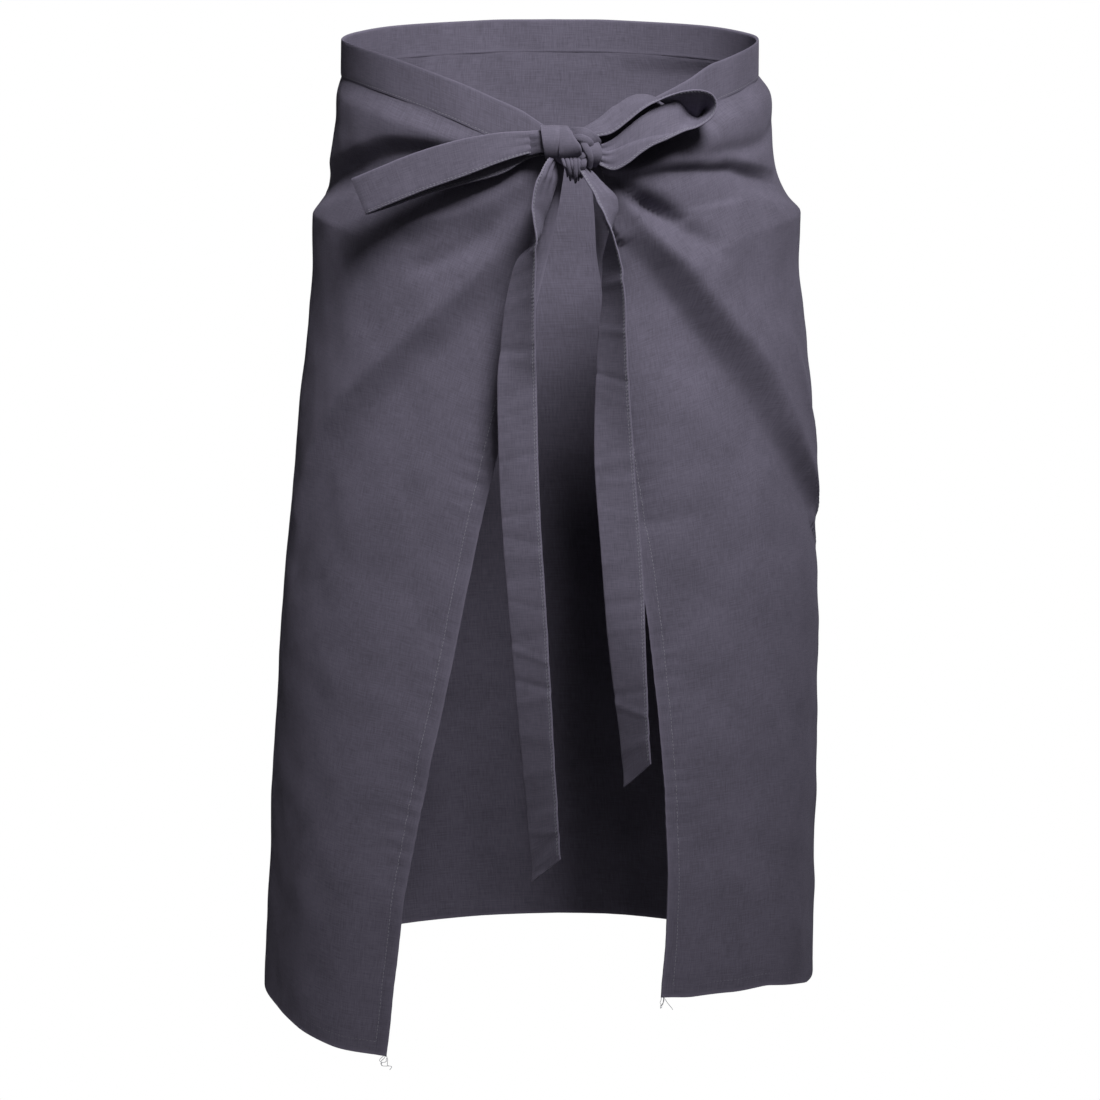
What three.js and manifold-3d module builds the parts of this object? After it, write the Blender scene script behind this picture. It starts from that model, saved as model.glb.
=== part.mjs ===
// Waist apron: one rectangle of cloth on a waistband, wrapped round and tied behind in a bow.
// Millimetres. +Y is the wearer's front, so the bow is on the -Y side, and +X is to its right
// when it is looked at from behind. +Z is up. The origin is the middle of the waist opening,
// at the height of the band's middle at the two sides.
import * as THREE from 'three';
import { mergeVertices } from 'three/addons/utils/BufferGeometryUtils.js';
import Module from 'manifold-3d';

const wasm = await Module();
wasm.setup();

// Driving sizes
const waistBreadth = 349;
const waistDepth = 260;
const skirtBreadth = 456;
const skirtDepth = 264;
const clothLength = 762;
const frontRise = 35;
const backDip = 92;
const bandWidth = 30;
const bandThickness = 2.6;
const clothThickness = 1.6;
const sideHemWidth = 10;
const footHemWidth = 12;
const hemThickness = 2.6;
const foldHeight = 11;
const foldBreadth = 26;
const tieWidth = 33;
const tieThickness = 1.8;
const knotWidth = 49;
const knotHeight = 43;
const knotDepth = 34;
const knotOffset = 17;
const knotStandoff = 18;
const loopLeftLength = 172;
const loopRightLength = 118;
const tailLeftLength = 589;
const tailRightLength = 511;
const clearance = 0.3;

// Exponent of the body's section: 2 is an ellipse, and more is squarer
const sectionRoundness = 2.25;
// Drop below which the section no longer follows the waist, as a share of the cloth's length
const waistReach = 0.15;

// Section of the skirt at each drop. left and right are shares of half the breadth there,
// back and front are shares of half the depth there, and drop is a share of the cloth's length.
const SECTIONS = [
  { drop: 0.00, left: 1.000, right: 1.000, back: 1.000, front: 1.000 },
  { drop: 0.02, left: 0.985, right: 1.020, back: 0.990, front: 1.000 },
  { drop: 0.05, left: 0.928, right: 0.966, back: 0.972, front: 1.000 },
  { drop: 0.10, left: 0.866, right: 0.897, back: 0.944, front: 0.997 },
  { drop: 0.15, left: 0.862, right: 0.897, back: 0.917, front: 0.985 },
  { drop: 0.20, left: 0.866, right: 0.906, back: 0.902, front: 0.977 },
  { drop: 0.30, left: 0.900, right: 0.950, back: 0.894, front: 0.970 },
  { drop: 0.50, left: 0.962, right: 0.980, back: 0.902, front: 0.977 },
  { drop: 0.60, left: 0.989, right: 0.994, back: 0.917, front: 0.985 },
  { drop: 0.80, left: 1.020, right: 0.984, back: 0.962, front: 1.000 },
  { drop: 1.00, left: 1.045, right: 0.975, back: 1.000, front: 1.015 },
];

// Height of the band's middle line. angle is from the back's middle, minus to the left;
// rise is a share of the front's rise and dip a share of the back's dip.
const BAND_LINE = [
  { angle: -180, rise: 1.000, dip: 0.00 },
  { angle: -165, rise: 0.966, dip: 0.00 },
  { angle: -135, rise: 0.707, dip: 0.00 },
  { angle: -110, rise: 0.342, dip: 0.00 },
  { angle: -90, rise: 0.000, dip: 0.00 },
  { angle: -50, rise: 0.000, dip: 0.28 },
  { angle: -25, rise: 0.000, dip: 0.55 },
  { angle: -11, rise: 0.000, dip: 0.76 },
  { angle: 3, rise: 0.000, dip: 0.99 },
  { angle: 11, rise: 0.000, dip: 0.96 },
  { angle: 25, rise: 0.000, dip: 0.74 },
  { angle: 38, rise: 0.000, dip: 0.54 },
  { angle: 50, rise: 0.000, dip: 0.35 },
  { angle: 90, rise: 0.000, dip: 0.00 },
  { angle: 110, rise: 0.342, dip: 0.00 },
  { angle: 135, rise: 0.707, dip: 0.00 },
  { angle: 165, rise: 0.966, dip: 0.00 },
  { angle: 180, rise: 1.000, dip: 0.00 },
];

// How far the foot hangs below the seam at each angle, as a share of the cloth's length.
// Less than 1 where the cloth is drawn up into the knot.
const FALLS = [
  { angle: -180, fall: 0.993 },
  { angle: -90, fall: 1.008 },
  { angle: -45, fall: 1.020 },
  { angle: -30, fall: 1.010 },
  { angle: -10, fall: 1.000 },
  { angle: 10, fall: 0.900 },
  { angle: 30, fall: 0.923 },
  { angle: 60, fall: 0.967 },
  { angle: 90, fall: 0.997 },
  { angle: 180, fall: 0.993 },
];

// Angle of the two free side edges at each drop
const SIDE_EDGES = [
  { drop: 0.00, left: 2.9, right: 7.3 },
  { drop: 0.10, left: 0.1, right: 10.3 },
  { drop: 0.20, left: -3.8, right: 11.4 },
  { drop: 0.30, left: -8.4, right: 12.3 },
  { drop: 0.45, left: -14.4, right: 15.8 },
  { drop: 0.60, left: -19.5, right: 18.9 },
  { drop: 0.80, left: -27.0, right: 22.3 },
  { drop: 0.92, left: -30.0, right: 22.5 },
  { drop: 1.00, left: -31.5, right: 21.5 },
];

// Folds that the knot draws in the cloth. path is a list of angle and drop pairs, height is
// a share of the fold height (minus is a valley), and above and below are the shares of the
// fold breadth over which it runs out on the two sides of its path.
const FOLDS = [
  { name: 'left drag ridge', height: 0.80, above: 0.9, below: 0.5,
    path: [[-3, 0.050], [-13, 0.136], [-36, 0.259], [-60, 0.366], [-76, 0.470]] },
  { name: 'valley under the left ridge', height: -0.45, above: 0.6, below: 1.2,
    path: [[-6, 0.120], [-16, 0.200], [-38, 0.310], [-60, 0.420], [-72, 0.520]] },
  { name: 'left pouch', height: 0.75, above: 1.3, below: 0.40,
    path: [[-22, 0.014], [-45, 0.034], [-66, 0.066], [-92, 0.096]] },
  { name: 'crease under the left pouch', height: -0.55, above: 0.3, below: 0.6,
    path: [[-22, 0.026], [-45, 0.058], [-66, 0.094], [-94, 0.130]] },
  { name: 'left hip ridge', height: 0.30, above: 0.4, below: 1.5,
    path: [[-60, 0.120], [-80, 0.145], [-100, 0.165]] },
  { name: 'upper left ridge', height: 0.45, above: 0.45, below: 0.45,
    path: [[-3, 0.022], [-14, 0.069], [-30, 0.112], [-48, 0.145]] },
  { name: 'right drag ridge', height: 0.85, above: 1.0, below: 0.4,
    path: [[14, 0.035], [25, 0.121], [36, 0.204], [51, 0.306], [66, 0.400], [94, 0.490]] },
  { name: 'valley under the right ridge', height: -0.50, above: 0.5, below: 1.2,
    path: [[17, 0.110], [27, 0.190], [40, 0.280], [56, 0.380], [80, 0.480]] },
  { name: 'right pouch', height: 0.90, above: 1.3, below: 0.30,
    path: [[14, 0.010], [36, 0.036], [58, 0.074], [86, 0.106], [100, 0.114]] },
  { name: 'crease under the right pouch', height: -0.50, above: 0.3, below: 0.55,
    path: [[13, 0.022], [36, 0.056], [58, 0.096], [88, 0.130]] },
  { name: 'wedge over the right ridge', height: -0.65, above: 0.35, below: 0.45,
    path: [[14, 0.032], [20, 0.056], [28, 0.090], [38, 0.126], [46, 0.150]] },
  { name: 'right hip ridge', height: 0.50, above: 0.3, below: 1.8,
    path: [[54, 0.116], [74, 0.138], [92, 0.152], [114, 0.158]] },
  { name: 'small right ridge', height: 0.30, above: 0.4, below: 0.4,
    path: [[62, 0.265], [74, 0.344], [86, 0.420]] },
];

// Lumps of the knot. across, out and up place the middle of a lump as shares of half the
// knot's width, depth and height; wide, deep and tall are its half sizes in the same shares.
const KNOT_LUMPS = [
  { name: 'core', across: 0.00, out: 0.00, up: 0.05, wide: 0.72, deep: 0.74, tall: 0.72, ribs: 0, lean: 0 },
  { name: 'left wrap', across: -0.58, out: 0.18, up: 0.44, wide: 0.42, deep: 0.80, tall: 0.55, ribs: 0, lean: 6 },
  { name: 'middle wrap', across: -0.02, out: 0.28, up: 0.42, wide: 0.40, deep: 0.80, tall: 0.56, ribs: 0, lean: -22 },
  { name: 'upper turn', across: 0.48, out: 0.10, up: 0.52, wide: 0.50, deep: 0.72, tall: 0.36, ribs: 0, lean: -12 },
  { name: 'side turn', across: 0.74, out: 0.02, up: 0.02, wide: 0.30, deep: 0.60, tall: 0.42, ribs: 0, lean: 10 },
  { name: 'pleats', across: 0.15, out: 0.12, up: -0.50, wide: 0.46, deep: 0.68, tall: 0.50, ribs: 12, lean: 0 },
];
const ribDepth = 0.09;

// Path of each tie from the knot's middle. across and up are shares of the named length, out is
// a share of the tie's width towards the back; swing turns the width away from upright in the
// back view, lean tips its upper or right edge towards the wearer, and width is a share of the
// tie's width, less than 1 where it is gathered.
const LOOP_LEFT = [
  { across: -0.040, up: 0.050, out: 0.00, swing: 0, lean: 0, width: 0.50 },
  { across: -0.150, up: 0.048, out: 0.06, swing: 0, lean: 0, width: 0.54 },
  { across: -0.205, up: 0.042, out: 0.10, swing: -3, lean: 0, width: 0.56 },
  { across: -0.333, up: 0.019, out: 0.12, swing: -8, lean: 0, width: 0.72 },
  { across: -0.520, up: -0.030, out: 0.00, swing: -14, lean: 0, width: 0.90 },
  { across: -0.708, up: -0.087, out: -0.20, swing: -17, lean: 0, width: 0.95 },
  { across: -0.872, up: -0.148, out: -0.42, swing: -20, lean: 0, width: 0.95 },
  { across: -0.975, up: -0.187, out: -0.60, swing: -22, lean: 0, width: 0.95 },
  { across: -1.000, up: -0.197, out: -0.68, swing: -23, lean: 0, width: 0.95 },
  { across: -0.975, up: -0.190, out: -0.76, swing: -22, lean: 0, width: 0.95 },
  { across: -0.872, up: -0.158, out: -0.68, swing: -20, lean: 0, width: 0.95 },
  { across: -0.708, up: -0.107, out: -0.46, swing: -17, lean: 0, width: 0.93 },
  { across: -0.520, up: -0.062, out: -0.28, swing: -14, lean: 0, width: 0.90 },
  { across: -0.333, up: -0.022, out: -0.18, swing: -8, lean: 0, width: 0.80 },
  { across: -0.190, up: 0.012, out: -0.12, swing: 0, lean: 0, width: 0.40 },
  { across: -0.060, up: 0.022, out: -0.08, swing: 0, lean: 0, width: 0.30 },
];
const LOOP_RIGHT = [
  { across: 0.08, up: 0.08, out: 0.10, swing: -30, lean: 48, width: 0.45 },
  { across: 0.18, up: 0.105, out: 0.18, swing: -30, lean: 48, width: 0.60 },
  { across: 0.27, up: 0.12, out: 0.24, swing: -26, lean: 48, width: 0.80 },
  { across: 0.36, up: 0.18, out: 0.28, swing: -20, lean: 52, width: 0.95 },
  { across: 0.53, up: 0.31, out: 0.26, swing: -22, lean: 64, width: 1.00 },
  { across: 0.72, up: 0.40, out: 0.08, swing: -5, lean: 80, width: 1.00 },
  { across: 0.86, up: 0.43, out: -0.12, swing: 0, lean: 89, width: 1.00 },
  { across: 0.96, up: 0.41, out: -0.28, swing: 0, lean: 89, width: 1.00 },
  { across: 1.00, up: 0.35, out: -0.36, swing: 0, lean: 89, width: 1.00 },
  { across: 0.99, up: 0.285, out: -0.36, swing: 0, lean: 89, width: 1.00 },
  { across: 0.94, up: 0.225, out: -0.31, swing: 6, lean: 87, width: 1.00 },
  { across: 0.86, up: 0.175, out: -0.21, swing: 6, lean: 74, width: 1.00 },
  { across: 0.79, up: 0.150, out: -0.12, swing: 6, lean: 60, width: 1.00 },
  { across: 0.72, up: 0.115, out: -0.03, swing: 6, lean: 34, width: 1.00 },
  { across: 0.655, up: 0.08, out: 0.04, swing: 6, lean: 18, width: 1.00 },
  { across: 0.555, up: 0.034, out: 0.12, swing: 6, lean: 10, width: 1.00 },
  { across: 0.47, up: -0.022, out: 0.15, swing: 4, lean: 6, width: 0.98 },
  { across: 0.39, up: -0.085, out: 0.12, swing: 0, lean: 4, width: 0.92 },
  { across: 0.29, up: -0.130, out: 0.05, swing: -5, lean: 2, width: 0.75 },
  { across: 0.19, up: -0.090, out: 0.00, swing: -8, lean: 0, width: 0.50 },
  { across: 0.08, up: -0.040, out: 0.00, swing: -8, lean: 0, width: 0.45 },
];
const TAIL_LEFT = [
  { across: -0.022, up: -0.008, out: 0.10, swing: 90, lean: -118, width: 0.40 },
  { across: -0.027, up: -0.022, out: 0.20, swing: 86, lean: -118, width: 0.70 },
  { across: -0.033, up: -0.042, out: 0.30, swing: 84, lean: -120, width: 1.00 },
  { across: -0.040, up: -0.068, out: 0.32, swing: 80, lean: -117, width: 1.00 },
  { across: -0.044, up: -0.096, out: 0.32, swing: 80, lean: -105, width: 1.00 },
  { across: -0.047, up: -0.123, out: 0.30, swing: 82, lean: -90, width: 1.00 },
  { across: -0.061, up: -0.147, out: 0.26, swing: 84, lean: -62, width: 1.00 },
  { across: -0.069, up: -0.203, out: 0.18, swing: 88, lean: -44, width: 1.00 },
  { across: -0.073, up: -0.271, out: 0.08, swing: 90, lean: -30, width: 1.00 },
  { across: -0.074, up: -0.332, out: 0.00, swing: 90, lean: -14, width: 1.00 },
  { across: -0.070, up: -0.477, out: 0.00, swing: 90, lean: -16, width: 1.00 },
  { across: -0.061, up: -0.613, out: 0.02, swing: 90, lean: -22, width: 1.00 },
  { across: -0.051, up: -0.750, out: 0.02, swing: 90, lean: -31, width: 1.00 },
  { across: -0.041, up: -0.887, out: 0.00, swing: 90, lean: -40, width: 1.00 },
  { across: -0.034, up: -0.983, out: -0.02, swing: 90, lean: -44, width: 1.00 },
];
const TAIL_RIGHT = [
  { across: 0.020, up: -0.026, out: 0.12, swing: 90, lean: -130, width: 0.40 },
  { across: 0.036, up: -0.046, out: 0.20, swing: 86, lean: -128, width: 0.62 },
  { across: 0.058, up: -0.080, out: 0.26, swing: 82, lean: -122, width: 0.95 },
  { across: 0.062, up: -0.117, out: 0.28, swing: 86, lean: -96, width: 1.00 },
  { across: 0.063, up: -0.171, out: 0.26, swing: 90, lean: -66, width: 1.00 },
  { across: 0.067, up: -0.228, out: 0.22, swing: 90, lean: -58, width: 1.00 },
  { across: 0.065, up: -0.291, out: 0.12, swing: 90, lean: -47, width: 1.00 },
  { across: 0.065, up: -0.382, out: 0.04, swing: 90, lean: -34, width: 1.00 },
  { across: 0.069, up: -0.502, out: 0.00, swing: 90, lean: -12, width: 1.00 },
  { across: 0.080, up: -0.644, out: 0.00, swing: 90, lean: -6, width: 1.00 },
  { across: 0.089, up: -0.791, out: 0.02, swing: 90, lean: -28, width: 1.00 },
  { across: 0.099, up: -0.912, out: 0.02, swing: 90, lean: -44, width: 1.00 },
  { across: 0.105, up: -0.983, out: 0.00, swing: 90, lean: -48, width: 1.00 },
];
// Slant of a tail's cut end: how much further its left edge hangs, as a share of the tie's width
const tailSlant = 0.62;

// Mesh fineness: steps round each back quarter, across the front, and down the skirt
const backSteps = 18;
const frontSteps = 16;
const SKIRT_ROWS = [
  { to: 0.26, steps: 14 },
  { to: 0.56, steps: 8 },
  { to: 0.95, steps: 3 },
];
const pathSamples = 24;
const lumpSides = 16;
const lumpRings = 10;

const degrees = THREE.MathUtils.degToRad;
const lerp = THREE.MathUtils.lerp;

// Smooth curve through the rows of a table: the value of one column where key has the value at
function column(rows, key, name, at) {
  const last = rows.length - 1;
  const found = rows.findIndex((row) => row[key] > at);
  const i = Math.min(Math.max((found < 0 ? last : found) - 1, 0), last - 1);
  const slope = (k) => {
    const before = rows[Math.max(k - 1, 0)];
    const after = rows[Math.min(k + 1, last)];
    return (after[name] - before[name]) / (after[key] - before[key]);
  };
  const span = rows[i + 1][key] - rows[i][key];
  const t = THREE.MathUtils.clamp((at - rows[i][key]) / span, 0, 1);
  const startWeight = (1 + 2 * t) * (1 - t) ** 2;
  const endWeight = t * t * (3 - 2 * t);
  const slopes = t * (1 - t) ** 2 * slope(i) - t * t * (1 - t) * slope(i + 1);
  return startWeight * rows[i][name] + endWeight * rows[i + 1][name] + span * slopes;
}

const signedPower = (value, power) => Math.sign(value) * Math.abs(value) ** power;

// Point of the body's section, at an angle from the back's middle and a drop
function sectionPoint(angle, drop) {
  const reach = Math.min(drop / waistReach, 1);
  const halfBreadth = lerp(waistBreadth, skirtBreadth, reach) / 2;
  const halfDepth = lerp(waistDepth, skirtDepth, reach) / 2;
  const sine = Math.sin(degrees(angle));
  const cosine = Math.cos(degrees(angle));
  const side = sine < 0 ? 'left' : 'right';
  const facing = cosine > 0 ? 'back' : 'front';
  const power = 2 / sectionRoundness;
  const x = halfBreadth * column(SECTIONS, 'drop', side, drop) * signedPower(sine, power);
  const y = -halfDepth * column(SECTIONS, 'drop', facing, drop) * signedPower(cosine, power);
  return new THREE.Vector2(x, y);
}

function bandHeight(angle) {
  const rise = frontRise * column(BAND_LINE, 'angle', 'rise', angle);
  return rise - backDip * column(BAND_LINE, 'angle', 'dip', angle);
}

// Steepness of the band's line at an angle, as height gained for each unit of way
function bandSlope(angle) {
  const step = 1;
  const before = Math.max(angle - step, -180);
  const after = Math.min(angle + step, 180);
  const way = sectionPoint(after, 0).distanceTo(sectionPoint(before, 0));
  return (bandHeight(after) - bandHeight(before)) / way;
}

// Vertical distance from the band's middle line to its lower or upper edge. The band narrows
// into the knot at both ends.
const bandEndShare = 0.62;
const bandTaperAngle = 9;
function bandHalfHeight(angle) {
  const { left, right } = SIDE_EDGES[0];
  const fromEnd = angle > right ? angle - right : left - angle;
  const taper = THREE.MathUtils.smoothstep(fromEnd, 0, bandTaperAngle);
  return (bandWidth / 2) * lerp(bandEndShare, 1, taper) * Math.hypot(1, bandSlope(angle));
}

const knotMiddle = new THREE.Vector3(
  knotOffset,
  -waistDepth / 2 - knotStandoff,
  bandHeight(3) - bandWidth * 0.2,
);

// The knot draws the cloth and the band out towards itself
const knotPull = 8;
const knotPullReach = 44;
function pulled(point) {
  const away = Math.hypot(point.x - knotMiddle.x, point.z - knotMiddle.z) / knotPullReach;
  point.y -= knotPull * Math.exp(-away * away) * (point.y < 0 ? 1 : 0);
  return point;
}

// Each fold's path as points on the unrolled cloth, in millimetres round and down
const meanRadius = (waistBreadth + waistDepth) / 4;
const unrolled = (angle, drop) => new THREE.Vector2(degrees(angle) * meanRadius, drop * clothLength);
const foldPaths = FOLDS.map((fold) => {
  const corners = fold.path.map(([angle, drop]) => unrolled(angle, drop));
  return { ...fold, points: new THREE.SplineCurve(corners).getPoints(pathSamples) };
});

// How far the cloth stands out from its section at an angle and drop, because of the folds
function foldOffset(angle, drop) {
  const place = unrolled(angle, drop);
  let offset = 0;
  for (const fold of foldPaths) {
    let nearest = 0;
    fold.points.forEach((point, k) => {
      if (point.distanceTo(place) < fold.points[nearest].distanceTo(place)) nearest = k;
    });
    const along = nearest / pathSamples;
    const ahead = fold.points[Math.min(nearest + 1, pathSamples)];
    const behind = fold.points[Math.max(nearest - 1, 0)];
    const way = ahead.clone().sub(behind).normalize();
    const gap = place.clone().sub(fold.points[nearest]);
    const downwards = (way.x * gap.y - way.y * gap.x) * Math.sign(way.x);
    const breadth = foldBreadth * (downwards < 0 ? fold.above : fold.below);
    const fade = Math.sqrt(Math.sin(Math.PI * lerp(0.08, 0.96, along)));
    const distance = gap.length() / breadth;
    offset += foldHeight * fold.height * fade * Math.exp(-distance * distance);
  }
  return offset;
}

// Gentle waves that grow towards the foot, where the cloth hangs free
const hemWaves = 7;
const hemWaveHeight = 3.5;
function waveOffset(angle, drop) {
  return hemWaveHeight * drop ** 2 * Math.sin(degrees(angle) * hemWaves + 1);
}

const seamDrop = 0.02;
function skirtPoint(angle, drop) {
  const { x, y } = sectionPoint(angle, drop);
  const seam = bandHeight(angle) - bandHalfHeight(angle) - clearance;
  const fall = clothLength * column(FALLS, 'angle', 'fall', angle);
  const outward = new THREE.Vector2(x / waistBreadth, y / waistDepth).normalize();
  const settled = THREE.MathUtils.smoothstep(drop, 0, seamDrop);
  const offset = (foldOffset(angle, drop) + waveOffset(angle, drop)) * settled;
  return pulled(new THREE.Vector3(x + outward.x * offset, y + outward.y * offset, seam - fall * drop));
}

const straightDown = new THREE.Vector3(0, 0, -1);

// Closed wall of cloth on a grid of points, with its thickness behind the face that the rows
// and columns show: on the skirt and the band the grid is the inner face. thickness gives the wall at a column and a row, and the seam row is the
// one whose thickness is level, so that it lies flat along its neighbour.
function clothWall(points, thickness, seamRow = -1) {
  const columns = points.length;
  const rows = points[0].length;
  const positions = [];
  const faces = [];
  const push = (p) => positions.push(p.x, p.y, p.z);
  points.forEach((line) => line.forEach(push));
  points.forEach((line, i) => line.forEach((point, j) => {
    const across = points[Math.min(i + 1, columns - 1)][j].clone().sub(points[Math.max(i - 1, 0)][j]);
    const down = line[Math.min(j + 1, rows - 1)].clone().sub(line[Math.max(j - 1, 0)]);
    const behind = across.cross(j === seamRow ? straightDown : down).normalize();
    push(point.clone().addScaledVector(behind, thickness(i, j)));
  }));
  const front = (i, j) => i * rows + j;
  const rear = (i, j) => columns * rows + front(i, j);
  const quad = (a, b, c, d) => faces.push(a, b, c, a, c, d);
  for (let i = 0; i < columns - 1; i += 1) {
    for (let j = 0; j < rows - 1; j += 1) {
      quad(front(i, j), front(i, j + 1), front(i + 1, j + 1), front(i + 1, j));
      quad(rear(i, j), rear(i + 1, j), rear(i + 1, j + 1), rear(i, j + 1));
    }
    quad(front(i, 0), front(i + 1, 0), rear(i + 1, 0), rear(i, 0));
    quad(front(i + 1, rows - 1), front(i, rows - 1), rear(i, rows - 1), rear(i + 1, rows - 1));
  }
  for (let j = 0; j < rows - 1; j += 1) {
    quad(front(0, j + 1), front(0, j), rear(0, j), rear(0, j + 1));
    quad(front(columns - 1, j), front(columns - 1, j + 1), rear(columns - 1, j + 1), rear(columns - 1, j));
  }
  const geometry = new THREE.BufferGeometry();
  geometry.setAttribute('position', new THREE.Float32BufferAttribute(positions, 3));
  geometry.setIndex(faces);
  return geometry;
}

// Share of the way round from the left free edge to the right one, for each column of a mesh:
// closer steps behind, where the folds are, and one at the inner edge of each side hem
const backShare = 0.27;
function sideShares() {
  const hemShare = sideHemWidth / (Math.PI * meanRadius * 2);
  const shares = [0];
  for (let k = 0; k < backSteps; k += 1) shares.push(lerp(hemShare, backShare, k / backSteps));
  for (let k = 0; k < frontSteps; k += 1) shares.push(lerp(backShare, 1 - backShare, k / frontSteps));
  for (let k = 0; k <= backSteps; k += 1) shares.push(lerp(1 - backShare, 1 - hemShare, k / backSteps));
  return [...shares, 1];
}

// Angle at a share of the way round, from one end past the front to the other
function angleBetween(left, right, share) {
  const turned = left - share * (360 + left - right);
  return turned < -180 ? turned + 360 : turned;
}

// Drops of the skirt's rows, with a pair of rows at the inner edge of the foot hem
function dropSteps() {
  const drops = [0];
  for (const stretch of SKIRT_ROWS) {
    const from = drops[drops.length - 1];
    for (let k = 1; k <= stretch.steps; k += 1) drops.push(lerp(from, stretch.to, k / stretch.steps));
  }
  const hemTop = 1 - footHemWidth / clothLength;
  return [...drops, hemTop - hemThickness / clothLength, hemTop, 1];
}

// The skirt: cloth from one free edge round the front to the other, double at its hems
function skirtGeometry() {
  const drops = dropSteps();
  const shares = sideShares();
  const points = shares.map((share) => drops.map((drop) => {
    const left = column(SIDE_EDGES, 'drop', 'left', drop);
    const right = column(SIDE_EDGES, 'drop', 'right', drop);
    return skirtPoint(angleBetween(left, right, share), drop);
  }));
  const isHem = (i, j) => i < 2 || i > shares.length - 3 || j > drops.length - 3;
  return clothWall(points, (i, j) => (isHem(i, j) ? hemThickness : clothThickness), 0);
}

// The waistband: a strip of even width whose lower edge follows the top of the skirt, with
// the cloth's wall in the middle of its own
const bandRows = 2;
function bandGeometry() {
  const proud = (bandThickness - clothThickness) / 2;
  const { left, right } = SIDE_EDGES[0];
  const points = sideShares().map((share) => {
    const angle = angleBetween(left, right, share);
    const { x, y } = sectionPoint(angle, 0);
    const outward = new THREE.Vector2(x / waistBreadth, y / waistDepth).normalize();
    const line = [];
    for (let k = 0; k <= bandRows; k += 1) {
      const height = bandHeight(angle) + bandHalfHeight(angle) * (1 - (2 * k) / bandRows);
      line.push(pulled(new THREE.Vector3(x - outward.x * proud, y - outward.y * proud, height)));
    }
    return line;
  });
  return clothWall(points, () => bandThickness, bandRows);
}

// A tie along the rows of its table. anchor says which part of the width the path is: 0.5 is
// its middle and 0 its lower or near edge. slant lengthens one edge at the far end.
const tieColumns = 3;
const tieStepsPerRow = 2;
function tieGeometry(rows, length, anchor, slant) {
  const numbered = rows.map((row, k) => ({ ...row, order: k }));
  const steps = (rows.length - 1) * tieStepsPerRow;
  const points = [];
  for (let i = 0; i <= steps; i += 1) {
    const at = i / tieStepsPerRow;
    const value = (name) => column(numbered, 'order', name, at);
    const swing = degrees(value('swing'));
    const lean = degrees(value('lean'));
    const upright = Math.cos(lean);
    const widthWay = new THREE.Vector3(Math.sin(swing) * upright, Math.sin(lean), Math.cos(swing) * upright);
    const middle = new THREE.Vector3(value('across') * length, -value('out') * tieWidth, value('up') * length);
    middle.add(knotMiddle);
    const line = [];
    for (let k = 0; k <= tieColumns; k += 1) {
      const share = k / tieColumns - anchor;
      const point = middle.clone().addScaledVector(widthWay, share * tieWidth * value('width'));
      point.z -= i === steps ? slant * tieWidth * (0.5 - k / tieColumns) : 0;
      line.push(point);
    }
    points.push(line);
  }
  return clothWall(points, () => tieThickness);
}

// One lump of the knot, larger all round by grow
function lumpGeometry(lump, grow) {
  const halfSizes = new THREE.Vector3(knotWidth, knotDepth, knotHeight).multiplyScalar(0.5);
  const middle = new THREE.Vector3(lump.across, -lump.out, lump.up).multiply(halfSizes).add(knotMiddle);
  const radii = new THREE.Vector3(lump.wide, lump.deep, lump.tall).multiply(halfSizes).addScalar(grow);
  const geometry = new THREE.SphereGeometry(1, lumpSides, lumpRings);
  geometry.rotateX(Math.PI / 2);
  const place = geometry.getAttribute('position');
  const point = new THREE.Vector3();
  for (let k = 0; k < place.count; k += 1) {
    point.fromBufferAttribute(place, k);
    const rib = 1 + (lump.ribs > 0 ? ribDepth * Math.cos(lump.ribs * Math.atan2(point.y, point.x)) : 0);
    point.set(point.x * rib, point.y * rib, point.z).multiply(radii);
    place.setXYZ(k, point.x, point.y, point.z);
  }
  geometry.rotateY(degrees(lump.lean));
  geometry.translate(middle.x, middle.y, middle.z);
  return geometry;
}

// Solids for the joins and cuts
function toSolid(geometry) {
  const bare = geometry.clone();
  bare.deleteAttribute('normal');
  bare.deleteAttribute('uv');
  const merged = mergeVertices(bare);
  const triVerts = Uint32Array.from(merged.index.array);
  const vertProperties = Float32Array.from(merged.getAttribute('position').array);
  return new wasm.Manifold(new wasm.Mesh({ numProp: 3, vertProperties, triVerts }));
}

function toGeometry(solid) {
  const { numProp, vertProperties, triVerts } = solid.getMesh();
  const positions = [];
  for (let k = 0; k < vertProperties.length; k += numProp) {
    positions.push(vertProperties[k], vertProperties[k + 1], vertProperties[k + 2]);
  }
  const geometry = new THREE.BufferGeometry();
  geometry.setAttribute('position', new THREE.Float32BufferAttribute(positions, 3));
  geometry.setIndex(Array.from(triVerts));
  return geometry;
}

const knotSolid = (grow) => KNOT_LUMPS
  .map((lump) => toSolid(lumpGeometry(lump, grow)))
  .reduce((whole, lump) => whole.add(lump));

// What is left of a piece outside the knot, in one body: the largest
function clearOf(geometry, cutter) {
  const bodies = toSolid(geometry).subtract(cutter).decompose();
  const largest = bodies.reduce((best, body) => (body.volume() > best.volume() ? body : best));
  return toGeometry(largest);
}

const apron = new THREE.Group();
function addPiece(name, geometry, colour) {
  const material = new THREE.MeshStandardMaterial({ color: colour, roughness: 0.85, metalness: 0 });
  const mesh = new THREE.Mesh(geometry, material);
  mesh.name = name;
  apron.add(mesh);
}

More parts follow.
